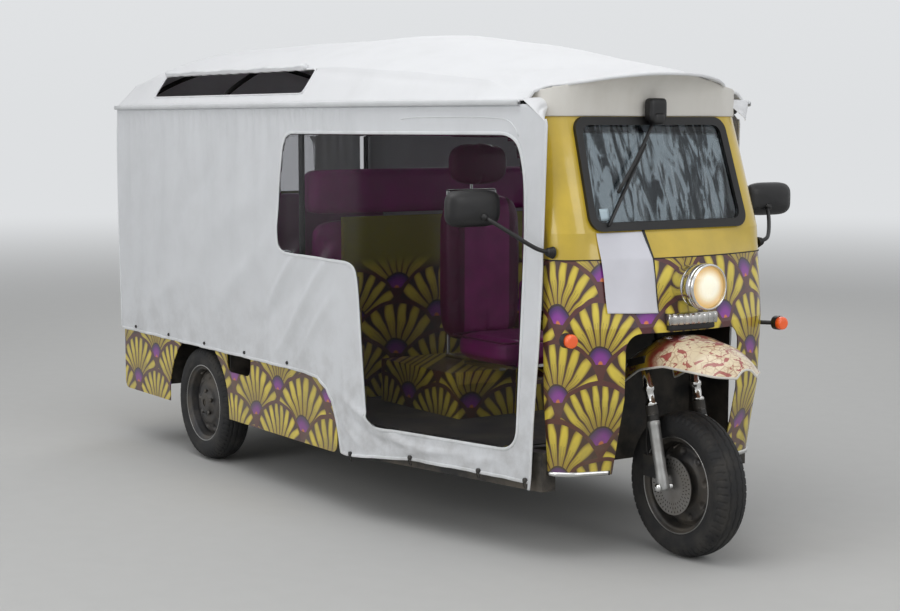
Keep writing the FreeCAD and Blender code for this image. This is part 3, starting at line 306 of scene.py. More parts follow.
def dress(material, *nodes):
    """Gives CAD nodes a material."""
    for node in nodes:
        for held in frame["nodes"][node].material_slots:
            held.material = material


frame_paint = finish("frame_paint", colour(26, 26, 27), 0.45, soil=0.7)
dress(frame_paint, "chassis_frame", "sills", "wheelhouses", "wheel_liner", "rear_bumper", "roof_frame")


# Axle, springs, shaft, engine and silencer: cast and forged steel, oily and dusty. The engine is one block
# here, as its own parts are closed in under the driver's seat.

bare_steel = finish("bare_steel", colour(96, 94, 92), 0.42, metal=0.9, depth=0.0003, soil=0.8)
cast_iron = finish("cast_iron", colour(60, 60, 60), 0.6, metal=0.5, depth=0.0006, size=0.006, soil=0.9)
dress(cast_iron, "engine_block", "rear_axle", "leaf_springs")
dress(bare_steel, "drive_shaft", "exhaust")


# The floor: steel sheet with a ribbed rubber mat glued on, grey with dust.

def mat_ribs(tree, point):
    """Ribs every 24 mm across the mat, as a colour."""
    ribs = add(tree, "ShaderNodeTexWave", {"Vector": point, "Scale": 13.0, "Distortion": 0.0})
    return between(tree, stretched(tree, ribs.outputs["Fac"], 0.4, 0.6), colour(58, 57, 56),
                   colour(84, 82, 80))


dress(finish("rubber_mat", colour(58, 57, 56), 0.8, depth=0.0005, soil=0.8, other=mat_ribs), "floor_pan")


# The body panels: steel sheet covered with a printed film of gold fans on maroon, with violet and orange
# hearts, lacquered over. The nose, the tub's sides and the back panel all wear it.

fan_wide = 0.43

fans, takes, gives = effect("fan_print", [("Flat", "Vector", None), ("Wide", "Float", fan_wide)],
                            [("Colour", "Color"), ("Ink", "Float")])
sway = add(fans, "ShaderNodeTexNoise", {"Vector": takes["Flat"], "Scale": 5.0, "Detail": 2.0})
sway = add(fans, "ShaderNodeVectorMath", {0: sway.outputs["Color"], 1: (0.5, 0.5, 0.5)},
           operation="SUBTRACT")
sway = add(fans, "ShaderNodeVectorMath", {0: sway.outputs[0], "Scale": 0.05}, operation="SCALE")
flat = add(fans, "ShaderNodeVectorMath", {0: takes["Flat"], 1: sway.outputs[0]}, operation="ADD")
flat = add(fans, "ShaderNodeSeparateXYZ", {0: flat.outputs[0]}).outputs
over = maths(fans, "DIVIDE", flat[0], takes["Wide"])
tall = maths(fans, "DIVIDE", flat[1], times(fans, takes["Wide"], 0.34))


def fan(tree, over, tall, back):
    """One row of fans, each a half cell off the next row: the share of its radius and the angle at a point,
    and a number of its own. Back is how many rows lower its middle lies."""
    row = minus(tree, maths(tree, "FLOOR", tall), back)
    shift = times(tree, maths(tree, "MODULO", maths(tree, "ABSOLUTE", row), 2.0), 0.5)
    across = plus(tree, over, shift)
    cell = maths(tree, "FLOOR", across)
    aside = minus(tree, minus(tree, across, cell), 0.5)
    above = times(tree, minus(tree, tall, row), 0.34)
    span = maths(tree, "SQRT", plus(tree, times(tree, aside, aside), times(tree, above, above)))
    cell_row = add(tree, "ShaderNodeCombineXYZ", {0: cell, 1: row}).outputs[0]
    own = add(tree, "ShaderNodeTexWhiteNoise", {"Vector": cell_row}, noise_dimensions="2D").outputs["Value"]
    return maths(tree, "DIVIDE", span, 0.56), maths(tree, "ARCTAN2", aside, above), own


near_far, near_turn, near_own = fan(fans, over, tall, 1.0)
back_far, back_turn, back_own = fan(fans, over, tall, 0.0)
behind = maths(fans, "GREATER_THAN", near_far, 1.0)


def chosen(one, other):
    """The number of the front fan, or of the one behind where the front one doesn't reach."""
    return plus(fans, times(fans, one, minus(fans, 1.0, behind)), times(fans, other, behind))


span, turn, own = chosen(near_far, back_far), chosen(near_turn, back_turn), chosen(near_own, back_own)
leaves = plus(fans, 9.0, maths(fans, "ROUND", times(fans, own, 4.0)))
wave = maths(fans, "ABSOLUTE", maths(fans, "SINE", times(fans, turn, leaves)))
taper = times(fans, maths(fans, "POWER", span, 6.0), 0.7)
leaf = stretched(fans, minus(fans, wave, taper), 0.12, 0.75)
bright = times(fans, leaf, stretched(fans, span, 0.15, 0.85, 0.30, 1.0))
gold = between(fans, bright, colour(122, 84, 12), colour(250, 226, 78))
gold = between(fans, stretched(fans, leaf, 0.0, 0.24), colour(56, 12, 28), gold)
rib = maths(fans, "SINE", times(fans, turn, times(fans, leaves, 3.0)))
rib = times(fans, maths(fans, "LESS_THAN", maths(fans, "ABSOLUTE", rib), 0.25), 0.55)
gold = between(fans, times(fans, rib, maths(fans, "LESS_THAN", span, 0.62)), gold, colour(96, 52, 24))
rim = maths(fans, "GREATER_THAN", span, 0.93)
gold = between(fans, rim, gold, colour(86, 22, 34))
heart = between(fans, stretched(fans, span, 0.10, 0.26), colour(150, 40, 170), colour(62, 12, 104))
heart = between(fans, stretched(fans, span, 0.035, 0.060, 1.0, 0.0), heart, colour(240, 128, 60))
print_made = between(fans, maths(fans, "LESS_THAN", span, 0.27), gold, heart)
print_made = between(fans, times(fans, maths(fans, "GREATER_THAN", span, 0.255),
                                 maths(fans, "LESS_THAN", span, 0.285)), print_made, colour(40, 10, 22))
fans.links.new(print_made, gives["Colour"])
fans.links.new(leaf, gives["Ink"])

nose_middle_x = 1.668


def print_round(tree, point):
    """The print laid round the body: its width runs over the front and on along each side."""
    parts = add(tree, "ShaderNodeSeparateXYZ", {0: point}).outputs
    side = maths(tree, "SIGN", parts[1])
    along = plus(tree, maths(tree, "ABSOLUTE", parts[1]), minus(tree, nose_middle_x, parts[0]))
    flat = add(tree, "ShaderNodeCombineXYZ", {0: times(tree, along, side), 1: parts[2]})
    return add(tree, "ShaderNodeGroup", {"Flat": flat.outputs[0]}, node_tree=fans).outputs["Colour"]


def print_across(tree, point):
    """The print laid flat over the back panel."""
    parts = add(tree, "ShaderNodeSeparateXYZ", {0: point}).outputs
    flat = add(tree, "ShaderNodeCombineXYZ", {0: parts[1], 1: parts[2]})
    return add(tree, "ShaderNodeGroup", {"Flat": flat.outputs[0]}, node_tree=fans).outputs["Colour"]


film = dict(depth=0.00008, size=0.02, shade=0.2, soil=0.5, coat=0.7)
printed = finish("printed_film", colour(180, 150, 50), 0.34, other=print_round, **film)
dress(printed, "nose_shell", "tub_sides")
dress(finish("printed_film_back", colour(180, 150, 50), 0.34, other=print_across, **film), "rear_panel")


# The screen surround: one pressing in plain gold paint above the belt joint, its joint line sealed with
# dark mastic. A bright strip edges the nose's foot.

def carried(profile, path, up=(0.0, 0.0, 1.0)):
    """A profile carried along a path. At each point its first number runs square to the path and to up, and
    its second square to both, towards up."""
    along = np.gradient(path, axis=0)
    along /= np.linalg.norm(along, axis=1, keepdims=True)
    side = np.cross(along, np.broadcast_to(up, along.shape))
    side /= np.linalg.norm(side, axis=1, keepdims=True)
    over = np.cross(side, along)
    return path[:, None] + profile[None, :, :1] * side[:, None] + profile[None, :, 1:] * over[:, None]


def round_profile(radius, count=12):
    """Points round a circle, the last on the first."""
    turn = np.linspace(0, 2 * np.pi, count + 1)
    return radius * np.stack([np.cos(turn), np.sin(turn)], -1)


def ended(grid):
    """A tube's grid with both ends drawn to their middle points, so that it is closed."""
    first = np.broadcast_to(grid[:1].mean(1, keepdims=True), grid[:1].shape)
    last = np.broadcast_to(grid[-1:].mean(1, keepdims=True), grid[-1:].shape)
    return np.concatenate([first, grid, last])


def eased(points, rounds=3):
    """A path with its corners cut again and again, a quarter from each end of every run."""
    points = np.asarray(points, float)
    for _ in range(rounds):
        a, b = points[:-1], points[1:]
        cut = np.stack([0.75 * a + 0.25 * b, 0.25 * a + 0.75 * b], 1).reshape(-1, points.shape[1])
        points = np.concatenate([points[:1], cut[1:-1], points[-1:]])
    return points


def resting(piece, body, material, slot, *nodes):
    """Gives a piece its material, rides it on a body and hides the CAD nodes it stands for. Slot is not used.
    """
    piece.data.materials.append(material)
    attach(piece, body)
    if nodes:
        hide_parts(*nodes)


nose_sections = np.array([
    # height, side end x, corner x, corner y, front x, half-width
    (0.316, 1.452, 1.528, 0.372, 1.590, 0.474),
    (0.600, 1.462, 1.580, 0.395, 1.662, 0.494),
    (0.860, 1.472, 1.588, 0.400, 1.668, 0.500),
    (1.105, 1.470, 1.556, 0.402, 1.624, 0.498),
    (1.200, 1.458, 1.550, 0.398, 1.560, 0.498),
    (1.632, 1.320, 1.408, 0.378, 1.416, 0.486),
])


def bowed(first, middle, last, count):
    """Points on the circle arc from the first point through the middle one to the last."""
    chord = (last - first) / 2
    rise = middle - (first + last) / 2
    height, half = np.linalg.norm(rise), np.linalg.norm(chord)
    radius = (half * half + height * height) / (2 * height)
    sweep = np.arcsin(min(1.0, half / radius))
    turn = np.linspace(-sweep, sweep, count)[:, None]
    return (first + last) / 2 + chord / half * radius * np.sin(turn) + rise / height * (
        radius * np.cos(turn) - radius + height)


def nose_line(z, out=0.0, rear=1.44, count=24):
    """The nose's plan line at a height, moved out: straight sides, round corners and a bowed front."""
    side_x, corner_x, corner_y, front_x, half = (np.interp(z, nose_sections[:, 0], nose_sections[:, i])
                                                 for i in range(1, 6))
    half, corner_y = half + out, corner_y + out * 0.6
    corner_x, side_x, front_x = corner_x + out, side_x + out * 0.3, front_x + out
    middle = np.array([side_x + (corner_x - side_x) * 0.66, -half + (half - corner_y) * 0.36])
    corner = bowed(np.array([side_x, -half]), middle, np.array([corner_x, -corner_y]), count)
    front = bowed(np.array([corner_x, -corner_y]), np.array([front_x, 0.0]), np.array([corner_x, corner_y]),
                  3 * count)
    right = np.concatenate([[[rear, -half]], corner, front[1:len(front) // 2 + 1]])
    left = right[::-1] * (1, -1)
    line = np.concatenate([right, left[1:]])
    return np.concatenate([line, np.full((len(line), 1), z)], 1)


gold = finish("gold_paint", colour(220, 188, 54), 0.26, depth=0.00006, size=0.003, shade=0.06, soil=0.22,
              coat=0.8)
dress(gold, "screen_surround")
mastic = finish("dark_mastic", colour(34, 30, 24), 0.6)
seam = surface("belt_seam", ended(carried(round_profile(0.0022, 8), nose_line(1.105, 0.0006))))
resting(seam, "chassis", mastic, "black_rubber")
chrome = finish("chrome", colour(222, 222, 220), 0.12, metal=1.0, depth=0.00003, shade=0.03, soil=0.25)
foot = nose_line(0.324, 0.001)
strip_profile = np.array([(-0.0005, -0.008), (0.0035, -0.008), (0.0045, 0.0), (0.0035, 0.008),
                          (-0.0005, 0.008), (-0.0005, -0.008)])
well = np.abs(foot[:, 1]) > 0.277
foot_right, foot_left = foot[well & (foot[:, 1] < 0)], foot[well & (foot[:, 1] > 0)]
foot_strips = surface("nose_foot_strips", ended(carried(strip_profile, foot_right)),
                      ended(carried(strip_profile, foot_left)))
resting(foot_strips, "chassis", chrome, "bright_metal")


# The windscreen: flat glass in a thick black rubber frame pressed into the cowl. Its pale rain streaking
# is dried rain marks and partly painted reflection, its dark smears are painted reflection, and it has a
# small blank sticker low on its right.

rubber = finish("black_rubber", colour(20, 20, 21), 0.42, depth=0.0002, size=0.002, soil=0.25)
dress(rubber, "windscreen_gasket", "handlebar_grips")


def clear_sheet(name, tint, rough, streaks_and_reflection=0.0, ripple=0.0, index=1.45, painted_dark_reflection=0.0):
    """Glass or film that light goes through: its ripple bends it a little and pale dried rain streaking dulls
    it,
    which on the windscreen is partly painted reflection. The dark share is of dark smears running down it:
    painted reflection that darkens the glass."""
    material, tree, shader = blank(name)
    point, *_ = place(tree)
    for label, value in (("Transmission Weight", 1.0), ("IOR", index), ("Coat Weight", 0.0)):
        shader.inputs[label].default_value = value
    # Pale streaking: dried rain marks, and on the windscreen partly painted reflection.
    long = add(tree, "ShaderNodeMapping", {0: point, 3: (9.0, 26.0, 2.2)})
    run = add(tree, "ShaderNodeTexNoise", {"Vector": long.outputs[0], "Scale": 1.6, "Detail": 7.0,
                                           "Roughness": 0.62})
    mark = stretched(tree, run.outputs[0], 0.48, 0.72)
    # Dark smears: painted reflection that darkens the glass.
    dark_reflection_cloud = add(tree, "ShaderNodeMapping", {0: point, 3: (3.0, 8.0, 1.7)})
    dark_reflection_cloud = add(tree, "ShaderNodeTexNoise", {"Vector": dark_reflection_cloud.outputs[0], "Scale": 2.4, "Detail": 8.0,
                                             "Roughness": 0.6, "Distortion": 1.4})
    deep = times(tree, stretched(tree, dark_reflection_cloud.outputs[0], 0.46, 0.56), painted_dark_reflection)
    tree.links.new(between(tree, times(tree, mark, streaks_and_reflection), between(tree, deep, tint, colour(22, 28, 32)),
                           colour(206, 216, 218)), shader.inputs["Base Color"])
    tree.links.new(plus(tree, rough, times(tree, mark, streaks_and_reflection * 0.8)), shader.inputs["Roughness"])
    wave = add(tree, "ShaderNodeTexNoise", {"Vector": point, "Scale": 7.0, "Detail": 2.0})
    bumped(tree, shader, wave.outputs[0], ripple)
    return material


# The screen's dark smears are painted reflection and its pale streaking is partly painted reflection.
dress(clear_sheet("screen_glass", colour(168, 182, 188), 0.01, streaks_and_reflection=0.30, ripple=0.0003, index=1.36,
                  painted_dark_reflection=0.9),
      "windscreen_glass")


def screen_point(y, z, out):
    """A point standing out from the flat glass by a distance, level with a height."""
    return np.stack([1.550 - (z - 1.200) * math.tan(math.radians(18.2)) + out + 0 * y, y, z + 0 * y], -1)


over, down = np.meshgrid(np.linspace(-0.318, -0.276, 5), np.linspace(1.243, 1.285, 5))
sticker = surface("screen_sticker", screen_point(over, down, 0.0062))
sticker.modifiers.new("thickness", "SOLIDIFY").thickness = 0.0004
resting(sticker, "chassis", finish("pale_sticker", colour(206, 226, 236), 0.4, soil=0.2), "white_paper")


# The wiper: a motor in a moulded box above the glass, a sprung steel arm and a rubber blade, parked slantwise
# across the right half of the glass.

def rounded_block(low, high, power=5.0, rows=24, cols=32):
    """A block with soft edges: each direction's share of a ball is raised to the power's inverse."""
    low, high = np.array(low, float), np.array(high, float)
    down = np.linspace(-np.pi / 2, np.pi / 2, rows)[:, None]
    over = np.linspace(-np.pi, np.pi, cols + 1)[None]
    ball = np.stack(np.broadcast_arrays(np.cos(down) * np.cos(over), np.cos(down) * np.sin(over),
                                        np.sin(down)), -1)
    size = (np.abs(ball) ** power).sum(-1, keepdims=True) ** (1 / power)
    return (low + high) / 2 + ball / size * (high - low) / 2


plastic = finish("black_plastic", colour(24, 24, 26), 0.38, depth=0.0002, size=0.0012, soil=0.3)
motor_x = 1.550 - 0.395 * math.tan(math.radians(18.2)) + 0.0165
motor = rounded_block((motor_x, -0.040, 1.597), (motor_x + 0.045, 0.040, 1.684), 6.0)
cap = rounded_block((motor_x + 0.004, -0.026, 1.587), (motor_x + 0.052, 0.026, 1.630), 4.0)
bracket = rounded_block((1.4125, -0.023, 1.641), (motor_x + 0.010, 0.023, 1.672), 8.0)
pivot, tip = screen_point(np.array([0.0, -0.235]), np.array([1.601, 1.342]), 0.030)
run = np.linspace(0, 1, 9)[:, None]
arm_path = pivot + (tip - pivot) * run + np.array([0.010, 0, 0]) * np.sin(np.pi * run)
arm = carried(np.array([(-0.006, -0.0025), (0.006, -0.0025), (0.006, 0.0025), (-0.006, 0.0025),
                        (-0.006, -0.0025)]),
              arm_path, (1, 0, 0.3))
blade_ends = screen_point(np.array([-0.055, -0.300]), np.array([1.512, 1.222]), 0.014)
blade_path = blade_ends[0] + (blade_ends[1] - blade_ends[0]) * np.linspace(0, 1, 13)[:, None]
blade = carried(np.array([(-0.004, 0.012), (0.004, 0.012), (0.003, 0.004), (0.001, -0.008), (-0.001, -0.008),
                          (-0.003, 0.004), (-0.004, 0.012)]), blade_path, (1, 0, 0.3))
wiper = surface("wiper_set", motor, cap, bracket, ended(arm), ended(blade))
resting(wiper, "chassis", plastic, "black_plastic", "wiper")


# The headlamp: a deep chromed bucket with rolled rings, and a fluted glass that glows warm, as it is lit.

def turned(profile, centre, axis, count=64):
    """Each (along, radius) pair of a profile becomes a circle about the axis through the centre."""
    axis = np.asarray(axis, float) / np.linalg.norm(axis)
    side = np.cross(axis, (0, 0, 1) if abs(axis[2]) < 0.9 else (1, 0, 0))
    side /= np.linalg.norm(side)
    over = np.cross(axis, side)
    turn = np.linspace(0, 2 * np.pi, count + 1)
    ring = np.cos(turn)[:, None] * side + np.sin(turn)[:, None] * over
    profile = np.asarray(profile, float)
    return np.asarray(centre, float) + profile[:, :1, None] * axis + profile[:, 1:, None] * ring


lamp_z = 1.005
bucket_profile = [(1.600, 0.0), (1.600, 0.060), (1.640, 0.072), (1.690, 0.0765), (1.700, 0.079),
                  (1.706, 0.0765), (1.724, 0.0775), (1.728, 0.083), (1.736, 0.085), (1.750, 0.0845),
                  (1.754, 0.0815), (1.758, 0.0845), (1.766, 0.085), (1.772, 0.081), (1.772, 0.0765),
                  (1.762, 0.0755), (1.752, 0.0745), (1.752, 0.0)]
bucket = surface("headlamp_shell", turned(eased(bucket_profile, 2), (0, 0, lamp_z), (1, 0, 0), 72))
resting(bucket, "chassis", chrome, "bright_metal", "headlamp_bucket")
lens_radius = np.linspace(0, 1, 25)
lens = turned(np.stack([1.7735 - 0.0145 * lens_radius ** 2, 0.0758 * lens_radius], -1), (0, 0, lamp_z),
              (1, 0, 0), 144)
lens[..., 0] -= 0.0007 * (1 - np.cos(lens[..., 1] * 2 * np.pi / 0.0075)) * (lens_radius < 0.96)[:, None]
back = lens[-1:] - (0.006, 0, 0)
lens = surface("headlamp_glass", np.concatenate([lens, back,
                                                 np.broadcast_to(back.mean(1, keepdims=True), back.shape)]))
material, tree, shader = blank("lit_lens")
point, across, aside, height = place(tree)
off = add(tree, "ShaderNodeVectorMath", {0: point, 1: (1.77, 0.0, lamp_z)},
          operation="DISTANCE").outputs["Value"]
glow = between(tree, stretched(tree, off, 0.030, 0.074), colour(255, 250, 228), colour(226, 184, 112))
tree.links.new(glow, shader.inputs["Emission Color"])
tree.links.new(glow, shader.inputs["Base Color"])
shader.inputs["Emission Strength"].default_value = 0.42
shader.inputs["Roughness"].default_value = 0.12
shader.inputs["Coat Weight"].default_value = 1.0
resting(lens, "chassis", material, "lamp_glass", "headlamp_lens")


# The bright ribbed strip under the headlamp: pressed aluminium on a dark rubber foot.

strip_z = 0.858
over = np.linspace(-0.112, 0.112, 225)
ribs = 0.0035 * (0.5 + 0.5 * np.cos(over * 2 * np.pi / 0.028)) ** 0.6
front_x = 1.693 + ribs - 0.006 * (over / 0.112) ** 2
strip_outline = np.array([(-0.046, 0.006), (-0.004, 0.006), (-0.001, 0.011), (0.0, 0.020), (0.0, 0.036),
                          (-0.002, 0.044), (-0.008, 0.048), (-0.046, 0.049), (-0.046, 0.006)])
strip = np.stack([front_x[:, None] + strip_outline[None, :, 0] + 0 * over[:, None],
                  over[:, None] + 0 * strip_outline[None, :, 0],
                  strip_z + strip_outline[None, :, 1] + 0 * over[:, None]], -1)
strip = surface("ribbed_strip", ended(strip))
resting(strip, "chassis", finish("worn_aluminium", colour(206, 204, 200), 0.2, metal=1.0, shade=0.2,
                                 soil=0.5), "bright_metal", "nose_strip")
foot = surface("strip_foot", rounded_block((1.640, -0.108, 0.843), (1.688, 0.108, 0.866), 8.0))
resting(foot, "chassis", rubber, "black_rubber")


# The front turn lamps: moulded cups on short stalks with orange lenses, ringed inside.

orange_profile = [(1.608, 0.0255), (1.622, 0.0250), (1.628, 0.0225), (1.6305, 0.0175), (1.6298, 0.0150),
                  (1.6315, 0.0110), (1.6308, 0.0080), (1.632, 0.0)]
material, tree, shader = blank("orange_lens")
shader.inputs["Base Color"].default_value = colour(236, 96, 30)
shader.inputs["Emission Color"].default_value = colour(255, 90, 20)
shader.inputs["Emission Strength"].default_value = 0.25
shader.inputs["Coat Weight"].default_value = 1.0
point, *_ = place(tree)
facets = add(tree, "ShaderNodeTexVoronoi", {"Vector": point, "Scale": 260.0})
bumped(tree, shader, facets.outputs["Distance"], 0.0006)
shader.inputs["Roughness"].default_value = 0.25
orange = surface("turn_lamp_lenses", *(turned([(1.608, 0.0), *orange_profile], (0, y, 0.828), (1, 0, 0), 40)
                                       for y in (-0.508, 0.508)))
resting(orange, "chassis", material, "orange_lamp", "indicator_lenses")
dress(plastic, "indicator_stalks")


# The mirrors: moulded housings, domed in front and open behind round the glass, on bent steel arms that
# leave the nose's sides through rubber boots.

heads, arms = [], []
for side in (-1.0, 1.0):
    turn = np.linspace(0, 2 * np.pi, 65)
    outline = [np.sign(wave) * np.abs(wave) ** 0.5 for wave in (np.cos(turn), np.sin(turn))]
    depth = np.array([0.004, 0.004, 0.0, 0.008, 0.020, 0.034, 0.043, 0.0475, 0.049])
    share = np.array([0.0, 0.935, 0.975, 1.0, 0.985, 0.90, 0.70, 0.40, 0.0])
    heads.append(np.stack([1.296 + depth[:, None] + 0 * turn,
                           side * 0.718 + share[:, None] * outline[0] * 0.116,
                           1.289 + share[:, None] * outline[1] * 0.066], -1))
    bend = eased([(1.487, side * 0.478, 1.131), (1.486, side * 0.540, 1.140), (1.470, side * 0.572, 1.156),
                  (1.400, side * 0.640, 1.215), (1.335, side * 0.690, 1.262)], 3)
    arms.append(ended(carried(round_profile(0.0078), bend)))
    along = np.linspace(0, 1, 41)
    boot = np.stack([along * 0.030, 0.021 - 0.009 * along + 0.0018 * np.sin(along * 8 * np.pi)], -1)
    arms.append(turned([(0.0, 0.0), *boot, (0.030, 0.0)], (1.4865, side * 0.492, 1.132), (0, side, 0.12),
                       32))
    arms.append(turned([(-0.012, 0.0), (-0.012, 0.014), (0.004, 0.016), (0.014, 0.011), (0.014, 0.0)],
                       (1.338, side * 0.690, 1.258), (0.45, -side * 0.45, -0.4), 24))
mirror_heads = surface("mirror_heads", *heads)
resting(mirror_heads, "chassis", plastic, "black_plastic", "mirrors")
mirror_arms = surface("mirror_arms", *arms)
resting(mirror_arms, "chassis", finish("arm_paint", colour(16, 16, 17), 0.35, soil=0.3), "black_plastic")
silvered = finish("silvered_glass", colour(225, 228, 230), 0.03, metal=1.0, depth=0.00001, shade=0.02,
                  soil=0.1)
dress(silvered, "mirror_glasses")


# Paper taped over the nose's right half: one blank sheet that hangs from under the screen's rubber frame,
# curls a little at its foot and has a black strap along one edge.

def nose_face(y, z):
    """How far forward the front face stands: a bow between its two corners, read from the sections."""
    corner_x, corner_y, front_x = (np.interp(z, nose_sections[:, 0], nose_sections[:, i]) for i in (2, 3, 4))
    return front_x - (front_x - corner_x) * (y / corner_y) ** 2


over, down = np.meshgrid(np.linspace(0, 1, 41), np.linspace(0, 1, 57))
paper_y = -0.351 + 0.206 * over + 0.010 * down * (1 - over)
paper_z = 1.200 - 0.284 * down - 0.006 * over * down
lift = 0.0035 + 0.010 * down ** 4 + 0.003 * np.sin(7 * over + 4 * down) * down
lift = lift + 0.006 * np.sin(np.pi * down) ** 2
paper = surface("taped_paper", np.stack([nose_face(paper_y, paper_z) + lift, paper_y, paper_z], -1))
thick = paper.modifiers.new("thickness", "SOLIDIFY")
thick.thickness, thick.offset = 0.0006, 0.0
resting(paper, "chassis", finish("white_paper", colour(232, 232, 240), 0.75, depth=0.0001, shade=0.03,
                                 soil=0.1), "white_paper", "paper_sheet")
run = np.linspace(0, 1, 33)
strap_y, strap_z = -0.139 - 0.004 * run, 1.205 - 0.282 * run
strap_path = np.stack([nose_face(strap_y, strap_z) + 0.004, strap_y, strap_z], -1)
strap = surface("paper_strap", ended(carried(np.array([(-0.006, -0.001), (0.006, -0.001), (0.006, 0.001),
                                                       (-0.006, 0.001), (-0.006, -0.001)]), strap_path,
                                             (1, 0, 0.2))))
resting(strap, "chassis", rubber, "black_rubber")


# The front mudguard: one bill-shaped pressing over the wheel that turns with the fork. Its paint runs from
# yellow behind through red-brown to cream in front, with thin brown scrollwork, and its edge is rolled white.

guard_table = np.array([
    # station, half-width, edge height, inset, shoulder height, top height
    (1.436, 0.128, 0.628, 0.010, 0.668, 0.742),
    (1.560, 0.148, 0.694, 0.012, 0.736, 0.812),
    (1.700, 0.154, 0.722, 0.014, 0.758, 0.826),
    (1.840, 0.142, 0.716, 0.016, 0.744, 0.802),
    (1.925, 0.108, 0.706, 0.016, 0.722, 0.766),
    (1.970, 0.040, 0.702, 0.008, 0.708, 0.726),
])


def softened(at, table, column, reach=0.05):
    """A table's column read along its first, averaged over a short reach each way so that it bends softly."""
    offsets = np.linspace(-reach, reach, 13)
    order = np.argsort(table[:, 0])
    read = np.interp(np.asarray(at)[..., None] + offsets, table[order, 0], table[order, column])
    weight = 1 + np.cos(offsets / reach * np.pi)
    return (read * weight).sum(-1) / weight.sum()


def arched(half, edge, inset, shoulder, top, rows):
    """Cross-sections for whole arrays of stations: a short leaning side, then a circle arc to the middle,
    evenly spaced and with the corner between them rubbed round."""
    half, edge, inset, shoulder, top = (np.asarray(v)[..., None] for v in (half, edge, inset, shoulder, top))
    width, rise = half - inset, top - shoulder
    radius = (width ** 2 + rise ** 2) / (2 * rise)
    sweep = np.arcsin(np.clip(width / radius, -1, 1))
    side = np.linspace(0, 1, rows[0])
    bow = np.linspace(1, -1, 2 * rows[1] + 1)
    y = np.concatenate([half - inset * side, (radius * np.sin(sweep * bow))[..., 1:-1],
                        -(half - inset * side)[..., ::-1]], -1)
    z = np.concatenate([edge + (shoulder - edge) * side,
                        (top - radius + radius * np.cos(sweep * bow))[..., 1:-1],
                        (edge + (shoulder - edge) * side)[..., ::-1]], -1)
    for _ in range(rows[2]):
        y[..., 1:-1] = 0.25 * y[..., :-2] + 0.5 * y[..., 1:-1] + 0.25 * y[..., 2:]
        z[..., 1:-1] = 0.25 * z[..., :-2] + 0.5 * z[..., 1:-1] + 0.25 * z[..., 2:]
    return y, z


stations = np.linspace(1.436, 1.969, 72)
half, edge, inset, shoulder, top = (softened(stations, guard_table, i, 0.03) for i in range(1, 6))
y, z = arched(half, edge, inset, shoulder, top, (9, 22, 5))
guard_skin = np.stack([stations[:, None] + 0 * y, y, z], -1)
guard = surface("mudguard_skin", guard_skin)
guard.modifiers.new("thickness", "SOLIDIFY").thickness = 0.003


def guard_paint(tree, point):
    """Yellow, red-brown and cream in turn along the guard, with brown scrollwork between cell borders."""
    parts = add(tree, "ShaderNodeSeparateXYZ", {0: point}).outputs
    sway = add(tree, "ShaderNodeTexNoise", {"Vector": point, "Scale": 9.0, "Detail": 3.0}).outputs[0]
    along = plus(tree, parts[0], times(tree, minus(tree, sway, 0.5), 0.16))
    shade = between(tree, stretched(tree, along, 1.56, 1.62), colour(240, 204, 62), colour(172, 62, 48))
    shade = between(tree, stretched(tree, along, 1.62, 1.70), shade, colour(246, 230, 196))
    cells = add(tree, "ShaderNodeTexVoronoi", {"Vector": point, "Scale": 34.0}, feature="DISTANCE_TO_EDGE")
    inner = add(tree, "ShaderNodeTexVoronoi", {"Vector": point, "Scale": 70.0}, feature="DISTANCE_TO_EDGE")
    line = maths(tree, "MAXIMUM", stretched(tree, cells.outputs["Distance"], 0.02, 0.10, 1.0, 0.0),
                 times(tree, stretched(tree, inner.outputs["Distance"], 0.01, 0.08, 1.0, 0.0), 0.5))
    share = times(tree, line, stretched(tree, sway, 0.38, 0.62, 0.10, 0.65))
    tinted = between(tree, share, shade, colour(168, 104, 62))
    stroke = add(tree, "ShaderNodeTexNoise", {"Vector": point, "Scale": 15.0, "Detail": 2.0,
                                              "Distortion": 2.2}).outputs[0]
    return between(tree, times(tree, stretched(tree, stroke, 0.55, 0.58), 0.9), tinted, colour(166, 46, 56))


resting(guard, "steering", finish("scroll_paint", colour(210, 170, 110), 0.32, other=guard_paint, shade=0.1,
                                  depth=0.00008, soil=0.4, coat=0.7), "flower_paint", "front_mudguard")
loop = np.concatenate([guard_skin[:, 0], guard_skin[-1, 1:-1], guard_skin[::-1, -1], guard_skin[0, -2:0:-1]])
loop = np.concatenate([loop, loop[:2]])
edge_roll = surface("mudguard_edge", carried(round_profile(0.0042, 10), loop - (0, 0, 0.001),
                                             (0.02, 0.01, 1.0)))
resting(edge_roll, "steering", finish("pale_enamel", colour(240, 236, 226), 0.35, soil=0.2), "flower_paint")
axis_x = 1.627 - (0.745 - 0.27) * math.tan(math.radians(14.5))
saddle = surface("mudguard_saddle", turned([(0.0, 0.0), (0.0, 0.030), (0.028, 0.030), (0.050, 0.024),
                                            (0.050, 0.0)],
                                           (axis_x, 0, 0.738), (-0.2504, 0, 0.9681), 40))
resting(saddle, "steering", bare_steel, "flower_paint")


# The fork: aluminium lower legs with the axle through their feet, polished upper tubes with dust seals and
# rings, and a cast yoke under the steering head.

